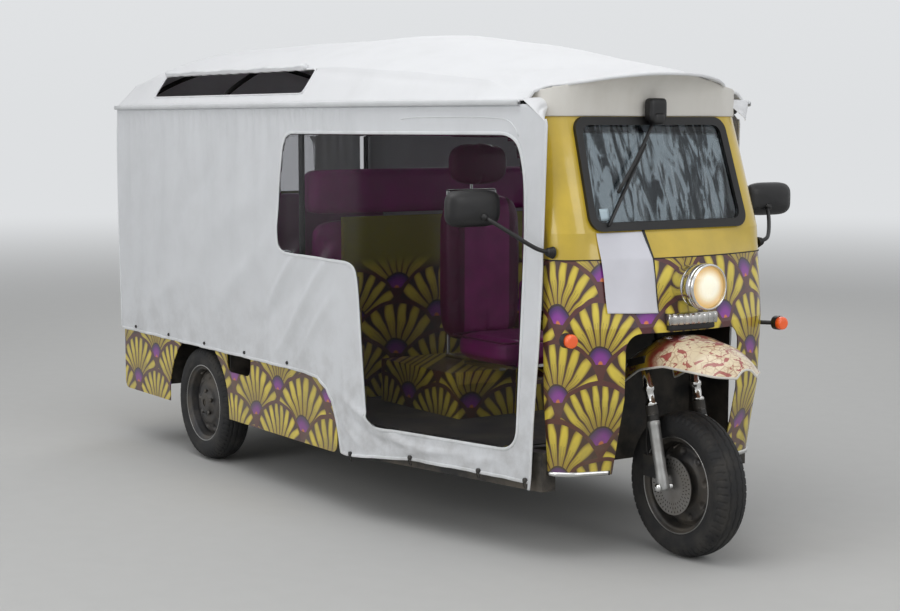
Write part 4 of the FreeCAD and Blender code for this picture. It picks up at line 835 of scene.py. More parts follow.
rake = math.radians(14.5)
axle_z = 0.27
front_axle = (1.665, 0.0, axle_z)
leg_way = np.array([-math.sin(rake), 0.0, math.cos(rake)])
leg_profile = [(-0.014, 0.0), (-0.014, 0.016), (-0.011, 0.0215), (-0.004, 0.0235), (0.030, 0.0238),
               (0.048, 0.0225), (0.060, 0.0215), (0.205, 0.0220), (0.222, 0.0226), (0.226, 0.0238),
               (0.240, 0.0238), (0.244, 0.0215), (0.262, 0.0215), (0.265, 0.0190), (0.265, 0.0)]
tube_profile = [(0.262, 0.0), (0.262, 0.0205), (0.272, 0.0230), (0.280, 0.0200), (0.284, 0.0178),
                (0.296, 0.0176), (0.300, 0.0225), (0.306, 0.0235), (0.312, 0.0225), (0.315, 0.0176),
                (0.352, 0.0176), (0.356, 0.0215), (0.366, 0.0225), (0.372, 0.0215), (0.376, 0.0176),
                (0.455, 0.0176), (0.455, 0.0)]
seat_profile = [(0.244, 0.0), (0.244, 0.0222), (0.249, 0.0236), (0.254, 0.0218), (0.258, 0.0236),
                (0.263, 0.0214), (0.268, 0.0200), (0.268, 0.0)]
feet = [np.array(front_axle) + (0.0, side * 0.115, 0.0) for side in (-1.0, 1.0)]
legs = surface("fork_lower_legs", *(turned(leg_profile, foot, leg_way, 40) for foot in feet))
alloy = finish("cast_aluminium", colour(196, 197, 196), 0.34, metal=0.85, depth=0.00015, size=0.003,
               soil=0.5)
resting(legs, "steering", alloy, "silver_legs", "fork_legs")
sleeves = surface("fork_upper_tubes", *(turned(tube_profile, foot, leg_way, 40) for foot in feet))
resting(sleeves, "steering", chrome, "bright_metal")
seals = surface("fork_dust_seals", *(turned(seat_profile, foot, leg_way, 32) for foot in feet))
resting(seals, "steering", rubber, "black_rubber")
pins = [turned([(-0.145, 0.0), (-0.145, 0.0088), (0.145, 0.0088), (0.145, 0.0)], front_axle, (0, 1, 0), 24)]
for side in (-1.0, 1.0):
    hexagon = [(side * 0.1395, 0.0), (side * 0.1395, 0.0165), (side * 0.1425, 0.0165),
               (side * 0.1425, 0.0135), (side * 0.1500, 0.0135), (side * 0.1520, 0.0105),
               (side * 0.1520, 0.0)]
    pins.append(turned(hexagon, front_axle, (0, 1, 0), 6))
pins = surface("axle_pin_and_nuts", *pins)
resting(pins, "steering", chrome, "silver_legs")
dress(frame_paint, "fork_yoke")
dress(cast_iron, "brake_caliper")
line_path = eased([(1.560, -0.088, 0.345), (1.545, -0.102, 0.400), (1.548, -0.094, 0.500),
                   (1.530, -0.080, 0.600), (1.520, -0.060, 0.690)], 3)
hose = surface("brake_pipe", ended(carried(round_profile(0.0042), line_path, (0, 1, 0.1))))
resting(hose, "steering", rubber, "black_rubber")


# The handlebar: a bent chromed tube on its clamp with ribbed rubber grips, a clutch and a brake lever.

dress(chrome, "handlebar")
bar_x = 1.627 - (1.012 - axle_z) * math.tan(rake)
levers = []
for side in (-1.0, 1.0):
    end = np.array([bar_x - 0.120, side * 0.340, 1.038])
    inner = np.array([bar_x - 0.030, side * 0.170, 1.038])
    way = (inner - end) / np.linalg.norm(inner - end)
    ahead = np.cross(way, (0, 0, 1)) * -side
    perch = end + way * 0.145
    levers.append(ended(carried(round_profile(0.0052),
                                eased([perch + ahead * 0.018, perch + ahead * 0.034 - way * 0.02,
                                       end + way * 0.07 + ahead * 0.040,
                                       end + way * 0.03 + ahead * 0.032], 3))))
    levers.append(turned([(-0.012, 0.0), (-0.012, 0.0165), (0.012, 0.0165), (0.012, 0.0)], perch, way, 24))
levers = surface("hand_levers", *levers)
resting(levers, "steering", alloy, "bright_metal")


# The tyres: 12-inch rubber with three wavy grooves, notched shoulders and ribbed walls, dusty where they
# meet the road.

tyre_black, tree, shader = blank("tyre_rubber")
point, *_ = place(tree)
skin = add(tree, "ShaderNodeGroup", {"Place": point, "Size": 0.0025}, node_tree=grain)
cloud = add(tree, "ShaderNodeTexNoise", {"Vector": point, "Scale": 11.0, "Detail": 8.0}).outputs[0]
tree.links.new(between(tree, times(tree, stretched(tree, cloud, 0.42, 0.75), 0.35), colour(27, 27, 28),
                       colour(92, 88, 82)), shader.inputs["Base Color"])
tree.links.new(plus(tree, 0.62, times(tree, cloud, 0.25)), shader.inputs["Roughness"])
bumped(tree, shader, skin.outputs["Height"], 0.0003)


def tyre(name, x, y, body, node):
    """Round the wheel and across the tyre: bead, bulging wall, shoulder, crown. Grooves drop the radius."""
    turn = np.linspace(0, 2 * np.pi, 481)[:, None]
    outline = eased([(-0.054, 0.174), (-0.0625, 0.186), (-0.0678, 0.206), (-0.0680, 0.226), (-0.0645, 0.244),
                     (-0.0560, 0.2565), (-0.040, 0.2635), (-0.020, 0.2688), (0.0, 0.2698), (0.020, 0.2688),
                     (0.040, 0.2635), (0.0560, 0.2565), (0.0645, 0.244), (0.0680, 0.226), (0.0678, 0.206),
                     (0.0625, 0.186), (0.054, 0.174)], 1)
    run = np.concatenate([[0], np.cumsum(np.linalg.norm(np.diff(outline, axis=0), axis=1))])
    even = np.linspace(0, run[-1], 85)
    across, radius = np.interp(even, run, outline[:, 0])[None], np.interp(even, run, outline[:, 1])[None]
    zigzag = 0.0045 * np.abs(((turn * 40 / np.pi) % 2) - 1)
    groove_middles = (-0.029, -0.0023, 0.0245)
    grooves = sum(np.exp(-((across - middle - zigzag) / 0.0022) ** 4) for middle in groove_middles)
    notch = (np.cos(turn * 60 + 30 * np.abs(across)) > 0.82) * (np.abs(across) > 0.040) * (radius > 0.238)
    walls = 0.0009 * (np.cos(turn * 180) > 0) * (radius > 0.231) * (radius < 0.240)
    hoops = 0.0012 * sum(np.exp(-((radius - height) / 0.0015) ** 2) for height in (0.196, 0.219, 0.2275))
    radius = radius + 0 * turn - 0.0052 * np.clip(grooves * (radius > 0.25), 0, 1) - 0.0045 * notch
    spread = across * (1 + (hoops + walls) / 0.068)
    grid = np.stack([x + radius * np.sin(turn), y + spread + 0 * turn, axle_z + radius * np.cos(turn)], -1)
    made = surface(name, np.concatenate([grid, grid[:, :1]], 1))
    resting(made, body, tyre_black, "tyre_black", node)


rear_x, rear_y = -1.015, 0.622
tyre("front_tread", front_axle[0], 0.0, "front_wheel", "front_tyre")
tyre("rear_tread_right", rear_x, -rear_y, "rear_wheel_right", "rear_tyre_right")
tyre("rear_tread_left", rear_x, rear_y, "rear_wheel_left", "rear_tyre_left")


# The wheels: pressed steel rims with a dished, slotted disc, sprayed dark grey with a bright worn lip, and
# held by five nuts behind or by the hub in front. A valve stands up through each rim.

wheel_paint = finish("wheel_paint", colour(70, 70, 72), 0.38, metal=0.6, depth=0.0002, soil=0.7)
lip_steel = finish("worn_lip", colour(196, 196, 194), 0.25, metal=1.0, depth=0.0001, shade=0.2, soil=0.5)


def wheel(name, x, y, out, drum, body, node):
    """Out is the side that the disc's dish faces and drum the brake drum's radius. The sections of the rim
    and the disc are turned on the axle, and the disc dips where its slots are."""
    rim = eased([(-0.058, 0.1795), (-0.0575, 0.174), (-0.050, 0.170), (-0.046, 0.160), (-0.030, 0.157),
                 (-0.012, 0.152), (0.012, 0.152), (0.030, 0.157), (0.046, 0.160), (0.050, 0.170),
                 (0.0575, 0.174), (0.058, 0.1795), (0.055, 0.1798), (0.053, 0.172), (0.0, 0.1560),
                 (-0.053, 0.172), (-0.055, 0.1798), (-0.058, 0.1795)], 2)
    turn = np.linspace(0, 2 * np.pi, 181)[:, None]
    dish = eased([(0.008, 0.154), (0.010, 0.146), (0.020, 0.136), (0.022, 0.118), (0.026, 0.104),
                  (0.034, 0.094), (0.035, 0.076), (0.034, 0.064), (0.044, 0.052), (0.052, 0.046),
                  (0.053, 0.020), (0.053, 0.0175)], 2)
    depth, radius = dish[None, :, 0], dish[None, :, 1]
    slot = np.clip(1.6 - ((radius - 0.123) / 0.011) ** 2 - (np.sin(turn * 4.5) / 0.42) ** 2, 0, 1)
    front = y + out * (depth - 0.010 * slot)
    face = np.stack([x + radius * np.sin(turn), front + 0 * turn, axle_z + radius * np.cos(turn)], -1)
    rear_face = face - np.array([0, out * 0.004, 0])
    solid = np.concatenate([face, rear_face[:, ::-1], face[:, :1]], 1)
    plain = surface(name, turned(rim, (x, y, axle_z), (0, 1, 0), 120), solid)
    resting(plain, body, wheel_paint, "wheel_grey")
    lips = surface(name + "_lips", *(turned([(s * 0.0590, 0.1760), (s * 0.0600, 0.1785),
                                             (s * 0.0590, 0.1806), (s * 0.0565, 0.1806),
                                             (s * 0.0560, 0.1780), (s * 0.0590, 0.1760)],
                                            (x, y, axle_z), (0, 1, 0), 120) for s in (-1.0, 1.0)))
    resting(lips, body, lip_steel, "wheel_grey")
    small = [turned([(0.0, 0.0), (0.0, 0.0036), (0.026, 0.0034), (0.030, 0.0026), (0.030, 0.0)],
                    (x, y + out * 0.040, axle_z + 0.150), (0, out, -0.35), 16)]
    for round_part in np.arange(5) * 2 * np.pi / 5:
        spot = (x + 0.055 * math.sin(round_part), y + out * 0.040, axle_z + 0.055 * math.cos(round_part))
        small.append(turned([(0.0, 0.0), (0.0, 0.0105), (0.010, 0.0105), (0.012, 0.008), (0.012, 0.0)], spot,
                            (0, out, 0), 6))
    if drum:
        small.append(turned([(-0.052, 0.0), (-0.052, drum), (0.006, drum), (0.010, drum * 0.9),
                             (0.010, 0.0)],
                            (x, y, axle_z), (0, out, 0), 64))
    small = surface(name + "_nuts", *small)
    resting(small, body, bare_steel, "dark_steel")
    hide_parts(node)


wheel("front_wheel_disc", front_axle[0], 0.0, -1.0, 0.0, "front_wheel", "front_rim")
wheel("rear_wheel_disc_right", rear_x, -rear_y, -1.0, 0.110, "rear_wheel_right", "rear_rim_right")
wheel("rear_wheel_disc_left", rear_x, rear_y, 1.0, 0.110, "rear_wheel_left", "rear_rim_left")


def drilled(tree, point):
    """Turned steel with two rows of holes round the axle, drawn as dark spots: painted shade where the holes
    are.
    """
    parts = add(tree, "ShaderNodeSeparateXYZ", {0: point}).outputs
    along, up = (minus(tree, parts[i], front_axle[i]) for i in (0, 2))
    away = maths(tree, "SQRT", plus(tree, times(tree, along, along), times(tree, up, up)))
    turn = times(tree, maths(tree, "ARCTAN2", up, along), 0.085)
    spot = maths(tree, "SINE", times(tree, turn, 2 * math.pi * 36 / (2 * math.pi * 0.085)))
    row = maths(tree, "SINE", times(tree, away, 2 * math.pi / 0.030))
    painted_hole_shade = times(tree, maths(tree, "GREATER_THAN", times(tree, spot, row), 0.62),
                 maths(tree, "GREATER_THAN", away, 0.062))
    return between(tree, painted_hole_shade, colour(150, 148, 146), colour(24, 24, 24))


# The disc's holes are drawn dark: painted shade in place of cut holes.
dress(finish("disc_steel", colour(150, 148, 146), 0.28, metal=0.9, other=drilled, shade=0.1, soil=0.5),
      "front_disc")


# The roof: one sewn canvas cover drawn over the bows, with a bound vent along each flank, its flap rolled up
# above it, and a stiff peak over the windscreen. A bead is sewn along the lip and along each vent.

curtain_plan = np.array([(-3.0, 0.720), (0.525, 0.720), (1.465, 0.522), (3.0, 0.199)])


def curtain_half(x):
    """Half the width between the curtains: full behind the door, and closing in towards the nose."""
    return np.interp(x, curtain_plan[1:3, 0], curtain_plan[1:3, 1])


rail_z, crown_rise = 1.676, 0.294
roof_table = np.array([
    # station, reach past the curtain, edge above the rail, lean, shares of the rise: shoulder and middle
    (1.700, -0.017, 0.022, 0.026, 0.150, 0.286),
    (1.430, -0.009, 0.000, 0.040, 0.156, 0.395),
    (1.140, 0.008, 0.000, 0.062, 0.259, 0.558),
    (0.740, 0.009, 0.000, 0.084, 0.388, 0.779),
    (0.210, 0.015, 0.000, 0.100, 0.497, 1.000),
    (-1.560, 0.015, 0.000, 0.100, 0.497, 1.000),
    (-1.890, -0.010, 0.000, 0.100, 0.340, 0.728),
])
vent_low, vent_high, vent_front, vent_rear = 1.712, 1.816, 0.040, -1.450
lip_half, lip_side, lip_tip = 0.420, 1.365, 1.570


def lip_x(y):
    """The lip's plan line: a circle arc from side to side through its tip."""
    rise = lip_tip - lip_side
    radius = (lip_half ** 2 + rise ** 2) / (2 * rise)
    return lip_tip - radius + np.sqrt(radius ** 2 - np.minimum(np.abs(y), lip_half) ** 2)


def roof_rows():
    """Shares up the short side, with two of them on the vent's edges."""
    low, high = (vent_low - rail_z) / (0.497 * crown_rise), (vent_high - rail_z) / (0.497 * crown_rise)
    return np.concatenate([np.linspace(0, low, 5), np.linspace(low, high, 9)[1:],
                           np.linspace(high, 1, 4)[1:]])


def roof_point(x, row):
    """Skin points at stations x: the side up to the shoulder, then the bow over to the other side. The
    canvas's sag between the bows and its ripples along the eaves are added to the skin after this."""
    past, edge, lean, shoulder, middle = (softened(x, roof_table, i, 0.10) for i in range(1, 6))
    past = np.minimum(past, 0.0148)
    half = curtain_half(x) + past
    y, z = arched(half, rail_z + edge, lean, rail_z + shoulder * crown_rise,
                  rail_z + middle * crown_rise - 0.0012,
                  (len(row), 26, 0))
    side = len(row)
    for sign, part in ((1, slice(0, side)), (-1, slice(-side, None))):
        up = row if sign > 0 else row[::-1]
        y[..., part] = sign * (half[..., None] - lean[..., None] * up)
        z[..., part] = (rail_z + edge)[..., None] + (shoulder * crown_rise - edge)[..., None] * up
    bow = slice(side - 1, 1 - side)
    for _ in range(3):
        for part in (y, z):
            before, after = part[..., side - 2:-side], part[..., side:2 - side]
            part[..., bow] = 0.25 * before + 0.5 * part[..., bow] + 0.25 * after
    return y, z


row = roof_rows()
bows = np.array([1.300, 0.640, -0.030, -0.870, -1.780])
stations = np.unique(np.round(np.concatenate([
    np.linspace(-1.890, vent_rear, 36), np.linspace(vent_rear, -0.12, 96),
    np.linspace(-0.12, vent_front, 14), np.linspace(vent_front, 1.05, 84),
    np.linspace(1.05, lip_tip, 60)]), 6))
y, z = roof_point(stations, row)
x = stations[:, None] + 0 * y
for _ in range(3):
    share = np.clip((stations[:, None] - 1.05) / (lip_tip - 1.05), 0, 1) ** 1.5
    x = stations[:, None] + share * (lip_x(y) - lip_tip)
    flat_y, flat_z = roof_point(x.ravel(), row)
    pick = np.arange(x.size), np.tile(np.arange(x.shape[1]), x.shape[0])
    y, z = flat_y[pick].reshape(x.shape), flat_z[pick].reshape(x.shape)
nearest = np.abs(x[..., None] - bows).min(-1)
gap = np.sin(np.clip(nearest / 0.42, 0, 1) * np.pi / 2)
inner = np.clip((0.62 - np.abs(y)) / 0.25, 0, 1)
z = z - 0.004 * gap * inner * (x < 1.25)
near_lip = np.clip(1 - (lip_x(y) - x) / 0.22, 0, 1)
fall = 0.060 * near_lip ** 1.5 * (3 - 2 * near_lip) * np.clip((np.abs(y) - 0.06) / 0.36, 0, 1) ** 1.6
z = np.maximum(z - fall * (3 - 2 * near_lip) / 3, np.minimum(z, 1.680))
slack = np.clip((np.abs(y) - 0.60) / 0.08, 0, 1) * np.clip((1.745 - z) / 0.06, 0, 1)
out_way = 0.0022 * slack * np.sin(x * 47 + 3 * np.sin(x * 11)) * (x < 1.35)
crease = np.exp(-((z - (1.806 - 0.085 * (x - 0.05) / 1.2)) / 0.012) ** 2)
crease = crease * np.clip((x - 0.02) / 0.1, 0, 1) * np.clip((1.25 - x) / 0.3, 0, 1)
y = y + np.sign(y) * (out_way - 0.0050 * crease * (np.abs(y) > 0.4))
roof_skin = np.stack([x, y, z], -1)
low_row, high_row = 4, 12
first, last = np.searchsorted(stations, vent_rear), np.searchsorted(stations, vent_front)
cols = roof_skin.shape[1]
strips = []
for a, b in ((0, low_row), (high_row, cols - 1 - high_row), (cols - 1 - low_row, cols - 1)):
    strips.append(roof_skin[:, a:b + 1])
for a, b in ((low_row, high_row), (cols - 1 - high_row, cols - 1 - low_row)):
    strips.append(roof_skin[:first + 1, a:b + 1])
    strips.append(roof_skin[last:, a:b + 1])
roof = surface("roof_cover", *strips)
thick = roof.modifiers.new("thickness", "SOLIDIFY")
thick.thickness, thick.offset = 0.003, -1.0

weave, takes, gives = effect("weave", [("Place", "Vector", None), ("Thread", "Float", 0.0012)],
                             [("Height", "Float")])
threads = maths(weave, "DIVIDE", 6.283, takes["Thread"])
spot = add(weave, "ShaderNodeSeparateXYZ", {0: takes["Place"]}).outputs
warp = maths(weave, "SINE", times(weave, plus(weave, spot[0], spot[1]), threads))
skew = plus(weave, spot[2], times(weave, spot[1], 0.5))
weft = maths(weave, "SINE", times(weave, skew, threads))
weave.links.new(times(weave, plus(weave, warp, weft), 0.5), gives["Height"])


def cloth(name, base, dark, rough=0.62, thread=0.0022, soil=0.3, crumple=0.0012, coat=0.0, stain=0.35):
    """Coated canvas: a weave, small crumples, water stains in a darker tone and road dirt low down."""
    material, tree, shader = blank(name)
    point, *_ = place(tree)
    woven = add(tree, "ShaderNodeGroup", {"Place": point, "Thread": thread}, node_tree=weave)
    soft = add(tree, "ShaderNodeTexNoise", {"Vector": point, "Scale": 13.0, "Detail": 5.0,
                                            "Distortion": 0.6})
    streak = add(tree, "ShaderNodeMapping", {0: point, 3: (5.0, 5.0, 1.1)})
    stains = add(tree, "ShaderNodeTexNoise", {"Vector": streak.outputs[0], "Scale": 1.3, "Detail": 8.0,
                                              "Roughness": 0.6})
    tone = between(tree, times(tree, stretched(tree, stains.outputs[0], 0.40, 0.75), stain), base, dark)
    soiled = add(tree, "ShaderNodeGroup", {"Place": point, "Colour": tone, "Amount": soil}, node_tree=dirt)
    tree.links.new(soiled.outputs["Colour"], shader.inputs["Base Color"])
    tree.links.new(plus(tree, rough, times(tree, stains.outputs[0], 0.12)), shader.inputs["Roughness"])
    crinkle = add(tree, "ShaderNodeBump", {"Height": soft.outputs[0], "Distance": crumple, "Strength": 1.0})
    bump = add(tree, "ShaderNodeBump", {"Height": woven.outputs["Height"], "Distance": 0.00018,
                                        "Strength": 0.6,
                                        "Normal": crinkle.outputs[0]})
    tree.links.new(bump.outputs[0], shader.inputs["Normal"])
    shader.inputs["Coat Weight"].default_value = coat
    shader.inputs["Coat Roughness"].default_value = 0.3
    return material


canvas = cloth("white_canvas", colour(242, 243, 245), colour(214, 215, 214), soil=0.1, crumple=0.00035,
               stain=0.12)
resting(roof, "chassis", canvas, "white_canvas", "roof_canvas", "roof_canvas_rear")

beads = []
lip = roof_skin[-1, low_row - 2:cols - low_row + 2]
beads.append(ended(carried(round_profile(0.0062, 12), lip + (0.0, 0, -0.003))))
eaves = [ended(carried(round_profile(0.0035, 8), roof_skin[:, part] - (0, 0, 0.001))) for part in (0, -1)]
for low_at, high_at in ((low_row, high_row), (cols - 1 - low_row, cols - 1 - high_row)):
    step = 1 if high_at > low_at else -1
    loop = np.concatenate([roof_skin[first:last, low_at], roof_skin[last, low_at:high_at:step],
                           roof_skin[last:first:-1, high_at], roof_skin[first, high_at:low_at:-step]])
    loop = np.concatenate([loop, loop[:2]])
    for _ in range(3):
        loop[1:-1] = 0.25 * loop[:-2] + 0.5 * loop[1:-1] + 0.25 * loop[2:]
        loop[0], loop[-1] = loop[-2], loop[1]
    beads.append(carried(round_profile(0.0042, 10), loop, (0, 0.3, 1)))
bound = surface("roof_beads", *beads, *eaves)
resting(bound, "chassis", cloth("canvas_binding", colour(240, 241, 243), colour(214, 215, 214), soil=0.1),
        "white_canvas")

rolls = []
for sign in (1, -1):
    at = np.linspace(vent_rear + 0.03, vent_front - 0.085, 90)
    y0, z0 = roof_point(at, row)
    pick = high_row + 1 if sign > 0 else cols - 2 - high_row
    line = np.stack([at, y0[:, pick] + sign * 0.010,
                     z0[:, pick] + 0.008 - 0.0035 * np.abs(np.sin((at - vent_rear) * 9.0))], -1)
    turn = np.linspace(0, 2 * np.pi, 25)
    plump = 0.0135 + 0.0020 * np.sin(at * 61) + 0.0022 * np.cos((at - vent_rear) * 18)
    swell = 1 + 0.10 * np.sin(5 * turn)
    base = carried(round_profile(1.0, 24), line)
    rolls.append(ended(line[:, None] + (base - line[:, None]) * plump[:, None, None] * swell[None, :, None]))
rolls = surface("vent_flap_rolls", *rolls)
resting(rolls, "chassis", canvas, "white_canvas")


# The peak's front: a canvas band from the screen surround up to the roof, hollowed forward under the lip. Its
# cloth is tinted beige: painted shade from the lip above. A small fold closes each corner beside it.

band_foot = 1.617
band_line = nose_line(band_foot, 0.0025, rear=1.335, count=16)


def under_roof(x, y):
    """The height just under the canopy at points of the band: the skin point nearest across is looked up."""
    spots = roof_skin.reshape(-1, 3)
    near = np.hypot(x[:, None] - spots[:, 0], y[:, None] - spots[:, 1]).argmin(1)
    return spots[near, 2] - 0.0045


rise = np.linspace(0, 1, 25)[:, None]
front_share = np.clip((band_line[:, 0] - 1.36) / 0.05, 0, 1)
grow = 0.070 * rise ** 3.2 * front_share * np.clip(1 - (band_line[:, 1] / 0.40) ** 2, 0, 1)
band_x = band_line[:, 0] + grow
reach_x = np.minimum(band_x[-1], lip_x(band_line[:, 1]) - 0.006)
band_x = band_line[:, 0] + (band_x - band_line[:, 0]) * np.where(band_x[-1] > reach_x, 0.0, 1.0)
top_z = under_roof(reach_x, band_line[:, 1])
band = np.stack([band_x, band_line[:, 1] + 0 * band_x, band_foot + (top_z - band_foot) * rise], -1)
band = surface("peak_band", band)
thick = band.modifiers.new("thickness", "SOLIDIFY")
thick.thickness, thick.offset = 0.003, -1.0
# The band cloth's beige tint is painted shade from the lip above.
resting(band, "chassis", cloth("band_canvas_painted_shade", colour(236, 233, 226), colour(212, 206, 194), soil=0.1,
                               crumple=0.0004), "white_canvas")

for side, word in ((-1.0, "right"), (1.0, "left")):
    down, over = np.linspace(0, 1, 25)[:, None], np.linspace(0, 1, 21)[None]
    reach = 0.106 if side < 0 else 0.030
    half = curtain_half(1.372 + reach * down) - (0.0 if side < 0 else 0.038) * down + 0.0045
    outer = np.stack([1.372 + reach * down, side * half, 1.678 - 0.078 * down], -1)
    inner_y = 0.418 + 0.062 * down
    inner = np.stack([1.366 + 0.052 * down, side * inner_y, 1.684 - 0.070 * down], -1)
    flap = inner + (outer - inner) * over[..., None]
    puff = np.sin(np.pi * over) * (0.35 + 0.65 * np.sin(np.pi * down))
    crease = np.exp(-((down - 0.45 - 0.25 * over) / 0.10) ** 2) * np.sin(np.pi * over) ** 0.5
    push = (0.014 * puff - 0.008 * crease)[..., None]
    fullness = 1.0 if side < 0 else 0.4
    flap = flap + push * np.array([0.62, 0.30 * side, 0.72]) * fullness
    gusset = surface("corner_gusset_" + word, flap)
    gusset.modifiers.new("thickness", "SOLIDIFY").thickness = 0.0016
    resting(gusset, "chassis", canvas, "white_canvas")


# The gutter rails: white enamelled steel, rolled to a hook that the side curtains hang from.

rails = []
hook = np.array([(0.004, -0.0196), (0.0175, -0.0196), (0.0216, -0.0160), (0.0218, -0.0030),
                 (0.0205, -0.0004), (0.0185, -0.0030), (0.0180, -0.0135), (0.0070, -0.0150),
                 (0.0060, -0.0010), (0.0044, -0.0006), (0.004, -0.0196)])
for sign in (-1.0, 1.0):
    at = np.concatenate([np.linspace(-1.876, 0.43, 24), np.linspace(0.44, 0.61, 12),
                         np.linspace(0.62, 1.36, 10)])
    line = np.stack([at, sign * softened(at, curtain_plan, 1, 0.05), 0 * at + 1.6757], -1)
    rails.append(ended(carried(hook * (-sign, 1), line)))
rails = surface("gutter_rails", *rails)
resting(rails, "chassis", finish("white_enamel", colour(228, 230, 232), 0.3, shade=0.05, soil=0.3, coat=0.4),
        "white_rail", "drip_rails")


# The side curtains: one canvas sheet a side, hooked to the gutter rail and held down by toggles. Each has a
# clear window with a door part in front, bound all round. It hangs in gathers from the rail and in folds
# below, and the left one is drawn back from the nose.

curtain_hem = np.array([(-1.90, 0.548), (0.040, 0.548), (0.170, 0.535), (0.250, 0.500), (0.295, 0.455),
                        (0.330, 0.355), (0.362, 0.252), (0.400, 0.249), (0.800, 0.288), (1.160, 0.290),
                        (1.500, 0.285)])
curtain_front = np.array([(0.240, 1.402), (0.300, 1.410), (0.620, 1.434), (0.940, 1.456), (1.130, 1.463),
                          (1.400, 1.473), (1.590, 1.480), (1.605, 1.474), (1.662, 1.384)])
curtain_high = 1.660
window_points = [(1.340, 1.556), (1.382, 1.420), (1.386, 1.180), (1.346, 0.396), (0.552, 0.388),
                 (0.498, 0.960), (0.468, 1.034), (-0.166, 1.040), (-0.176, 1.140), (-0.112, 1.552)]
folds = np.array([
    # from x, z to x, z, width and height of each slack fold
    (0.300, 1.060, -0.200, 0.590, 0.030, 0.018),
    (0.030, 1.060, -0.320, 0.760, 0.024, 0.012),
    (0.180, 1.020, -0.560, 0.560, 0.055, -0.012),
    (0.330, 0.900, -0.050, 0.560, 0.022, 0.010),
    (-0.180, 1.140, -0.900, 0.660, 0.050, 0.010),
    (-0.150, 1.360, -1.050, 0.980, 0.070, 0.008),
    (-0.550, 1.600, -1.150, 1.150, 0.060, -0.008),
    (-0.900, 1.600, -1.560, 0.800, 0.070, 0.009),
    (-1.300, 1.600, -1.780, 0.900, 0.050, -0.007),
    (-1.050, 0.900, -1.700, 0.600, 0.055, 0.009),
    (0.385, 0.500, 0.800, 0.318, 0.014, 0.013),
    (0.400, 0.440, 0.700, 0.300, 0.012, -0.009),
    (0.560, 0.360, 0.980, 0.350, 0.011, 0.010),
    (0.700, 0.325, 1.120, 0.338, 0.010, 0.009),
    (0.380, 0.390, 0.560, 0.290, 0.009, 0.007),
    (1.000, 0.335, 1.330, 0.350, 0.012, 0.004),
    (0.390, 0.640, 0.430, 0.300, 0.018, 0.006),
    (1.440, 0.720, 1.400, 0.340, 0.022, 0.005),
])


def slack(x, z):
    """How far the sheet stands out: pleats below the rail that die away downwards, single folds, each a soft
    ridge along a line, a belly between rail and hem, and a hem that waves."""
    below = curtain_high - z
    loose = np.clip((0.85 - x) / 0.75, 0.12, 1)
    pleats = np.sin(2 * np.pi * (x / 0.066 + 0.55 * np.sin(x * 7.3) + 0.25 * np.sin(x * 17)))
    fading = np.exp(-(np.maximum(below, 0) / 0.13) ** 1.4)
    out = 0.0046 * loose * pleats * np.clip(below / 0.02, 0, 1) * fading
    wide = np.sin(2 * np.pi * (x / 0.21 + 0.3 * np.sin(x * 3.1) + below * 0.35))
    deep = np.exp(-(below / 0.75) ** 2)
    out = out + 0.0040 * np.clip((-0.05 - x) / 0.3, 0, 1) * wide * np.clip(below / 0.12, 0, 1) * deep
    for x0, z0, x1, z1, width, height in folds:
        run = np.hypot(x1 - x0, z1 - z0)
        along = ((x - x0) * (x1 - x0) + (z - z0) * (z1 - z0)) / run
        away = ((z - z0) * (x1 - x0) - (x - x0) * (z1 - z0)) / run
        away = away + 0.012 * np.sin(along * 9 + x0 * 20)
        share = np.clip(along / run, 0, 1)
        beyond = np.maximum(np.maximum(-along, along - run), 0)
        ends = np.sin(np.pi * np.clip(0.04 + 0.96 * share, 0, 1)) ** 0.6 * np.exp(-(beyond / width) ** 2)
        out = out + height * ends * np.exp(-(away / width) ** 2)
    out = out + 0.006 * np.sin(np.pi * np.clip(below / 1.1, 0, 1)) * np.clip((-0.1 - x) / 0.4, 0, 1)
    hem = np.interp(x, curtain_hem[:, 0], curtain_hem[:, 1])
    wave = 0.0035 * np.sin(2 * np.pi * x / 0.23 + 1.1) + 0.0015 * np.sin(2 * np.pi * x / 0.087)
    return out + wave * np.exp(-((z - hem) / 0.07) ** 2) * np.clip((1.40 - x) / 0.05, 0, 1)


def hung(x, z, side, out=0.0):
    """Points of the curtain: its plan line at x, moved out square to itself by its slack and by out."""
    push = slack(x, z) + out + 0.0015
    bent = np.clip((x - 0.495) / 0.06, 0, 1)
    half = softened(x, curtain_plan, 1, 0.05)
    return np.stack([x + 0.206 * bent * push, side * (half + (1 - 0.0215 * bent) * push), z + 0 * x], -1)


def rounded(points, radius, step=0.008):
    """A closed outline with its corners bent round, evenly spaced: each corner is a curve from one side to
    the next whose middle is drawn to the corner."""
    points = np.asarray(points, float)
    bent = []
    for i, here in enumerate(points):
        back, on = points[i - 1] - here, points[(i + 1) % len(points)] - here
        start, end = (here + way * (min(radius, 0.48 * np.linalg.norm(way)) / np.linalg.norm(way))
                      for way in (back, on))
        t = np.linspace(0, 1, 13)[:, None]
        bent.append((1 - t) ** 2 * start + 2 * t * (1 - t) * here + t ** 2 * end)
    loop = np.concatenate([*bent, bent[0][:1]])
    run = np.concatenate([[0], np.cumsum(np.linalg.norm(np.diff(loop, axis=0), axis=1))])
    even = np.linspace(0, run[-1], int(run[-1] / step) + 1)
    return np.stack([np.interp(even, run, loop[:, i]) for i in (0, 1)], -1)


def inside(outline, x, z):
    """Which points lie within a closed outline: a ray towards +x crosses it an odd number of times."""
    x, z = np.asarray(x)[..., None], np.asarray(z)[..., None]
    x0, z0, x1, z1 = outline[:-1, 0], outline[:-1, 1], outline[1:, 0], outline[1:, 1]
    meets = (z0 > z) != (z1 > z)
    rise = np.where(z1 == z0, 1e-9, z1 - z0)
    return (meets & (x < x0 + (z - z0) * (x1 - x0) / rise)).sum(-1) % 2 == 1


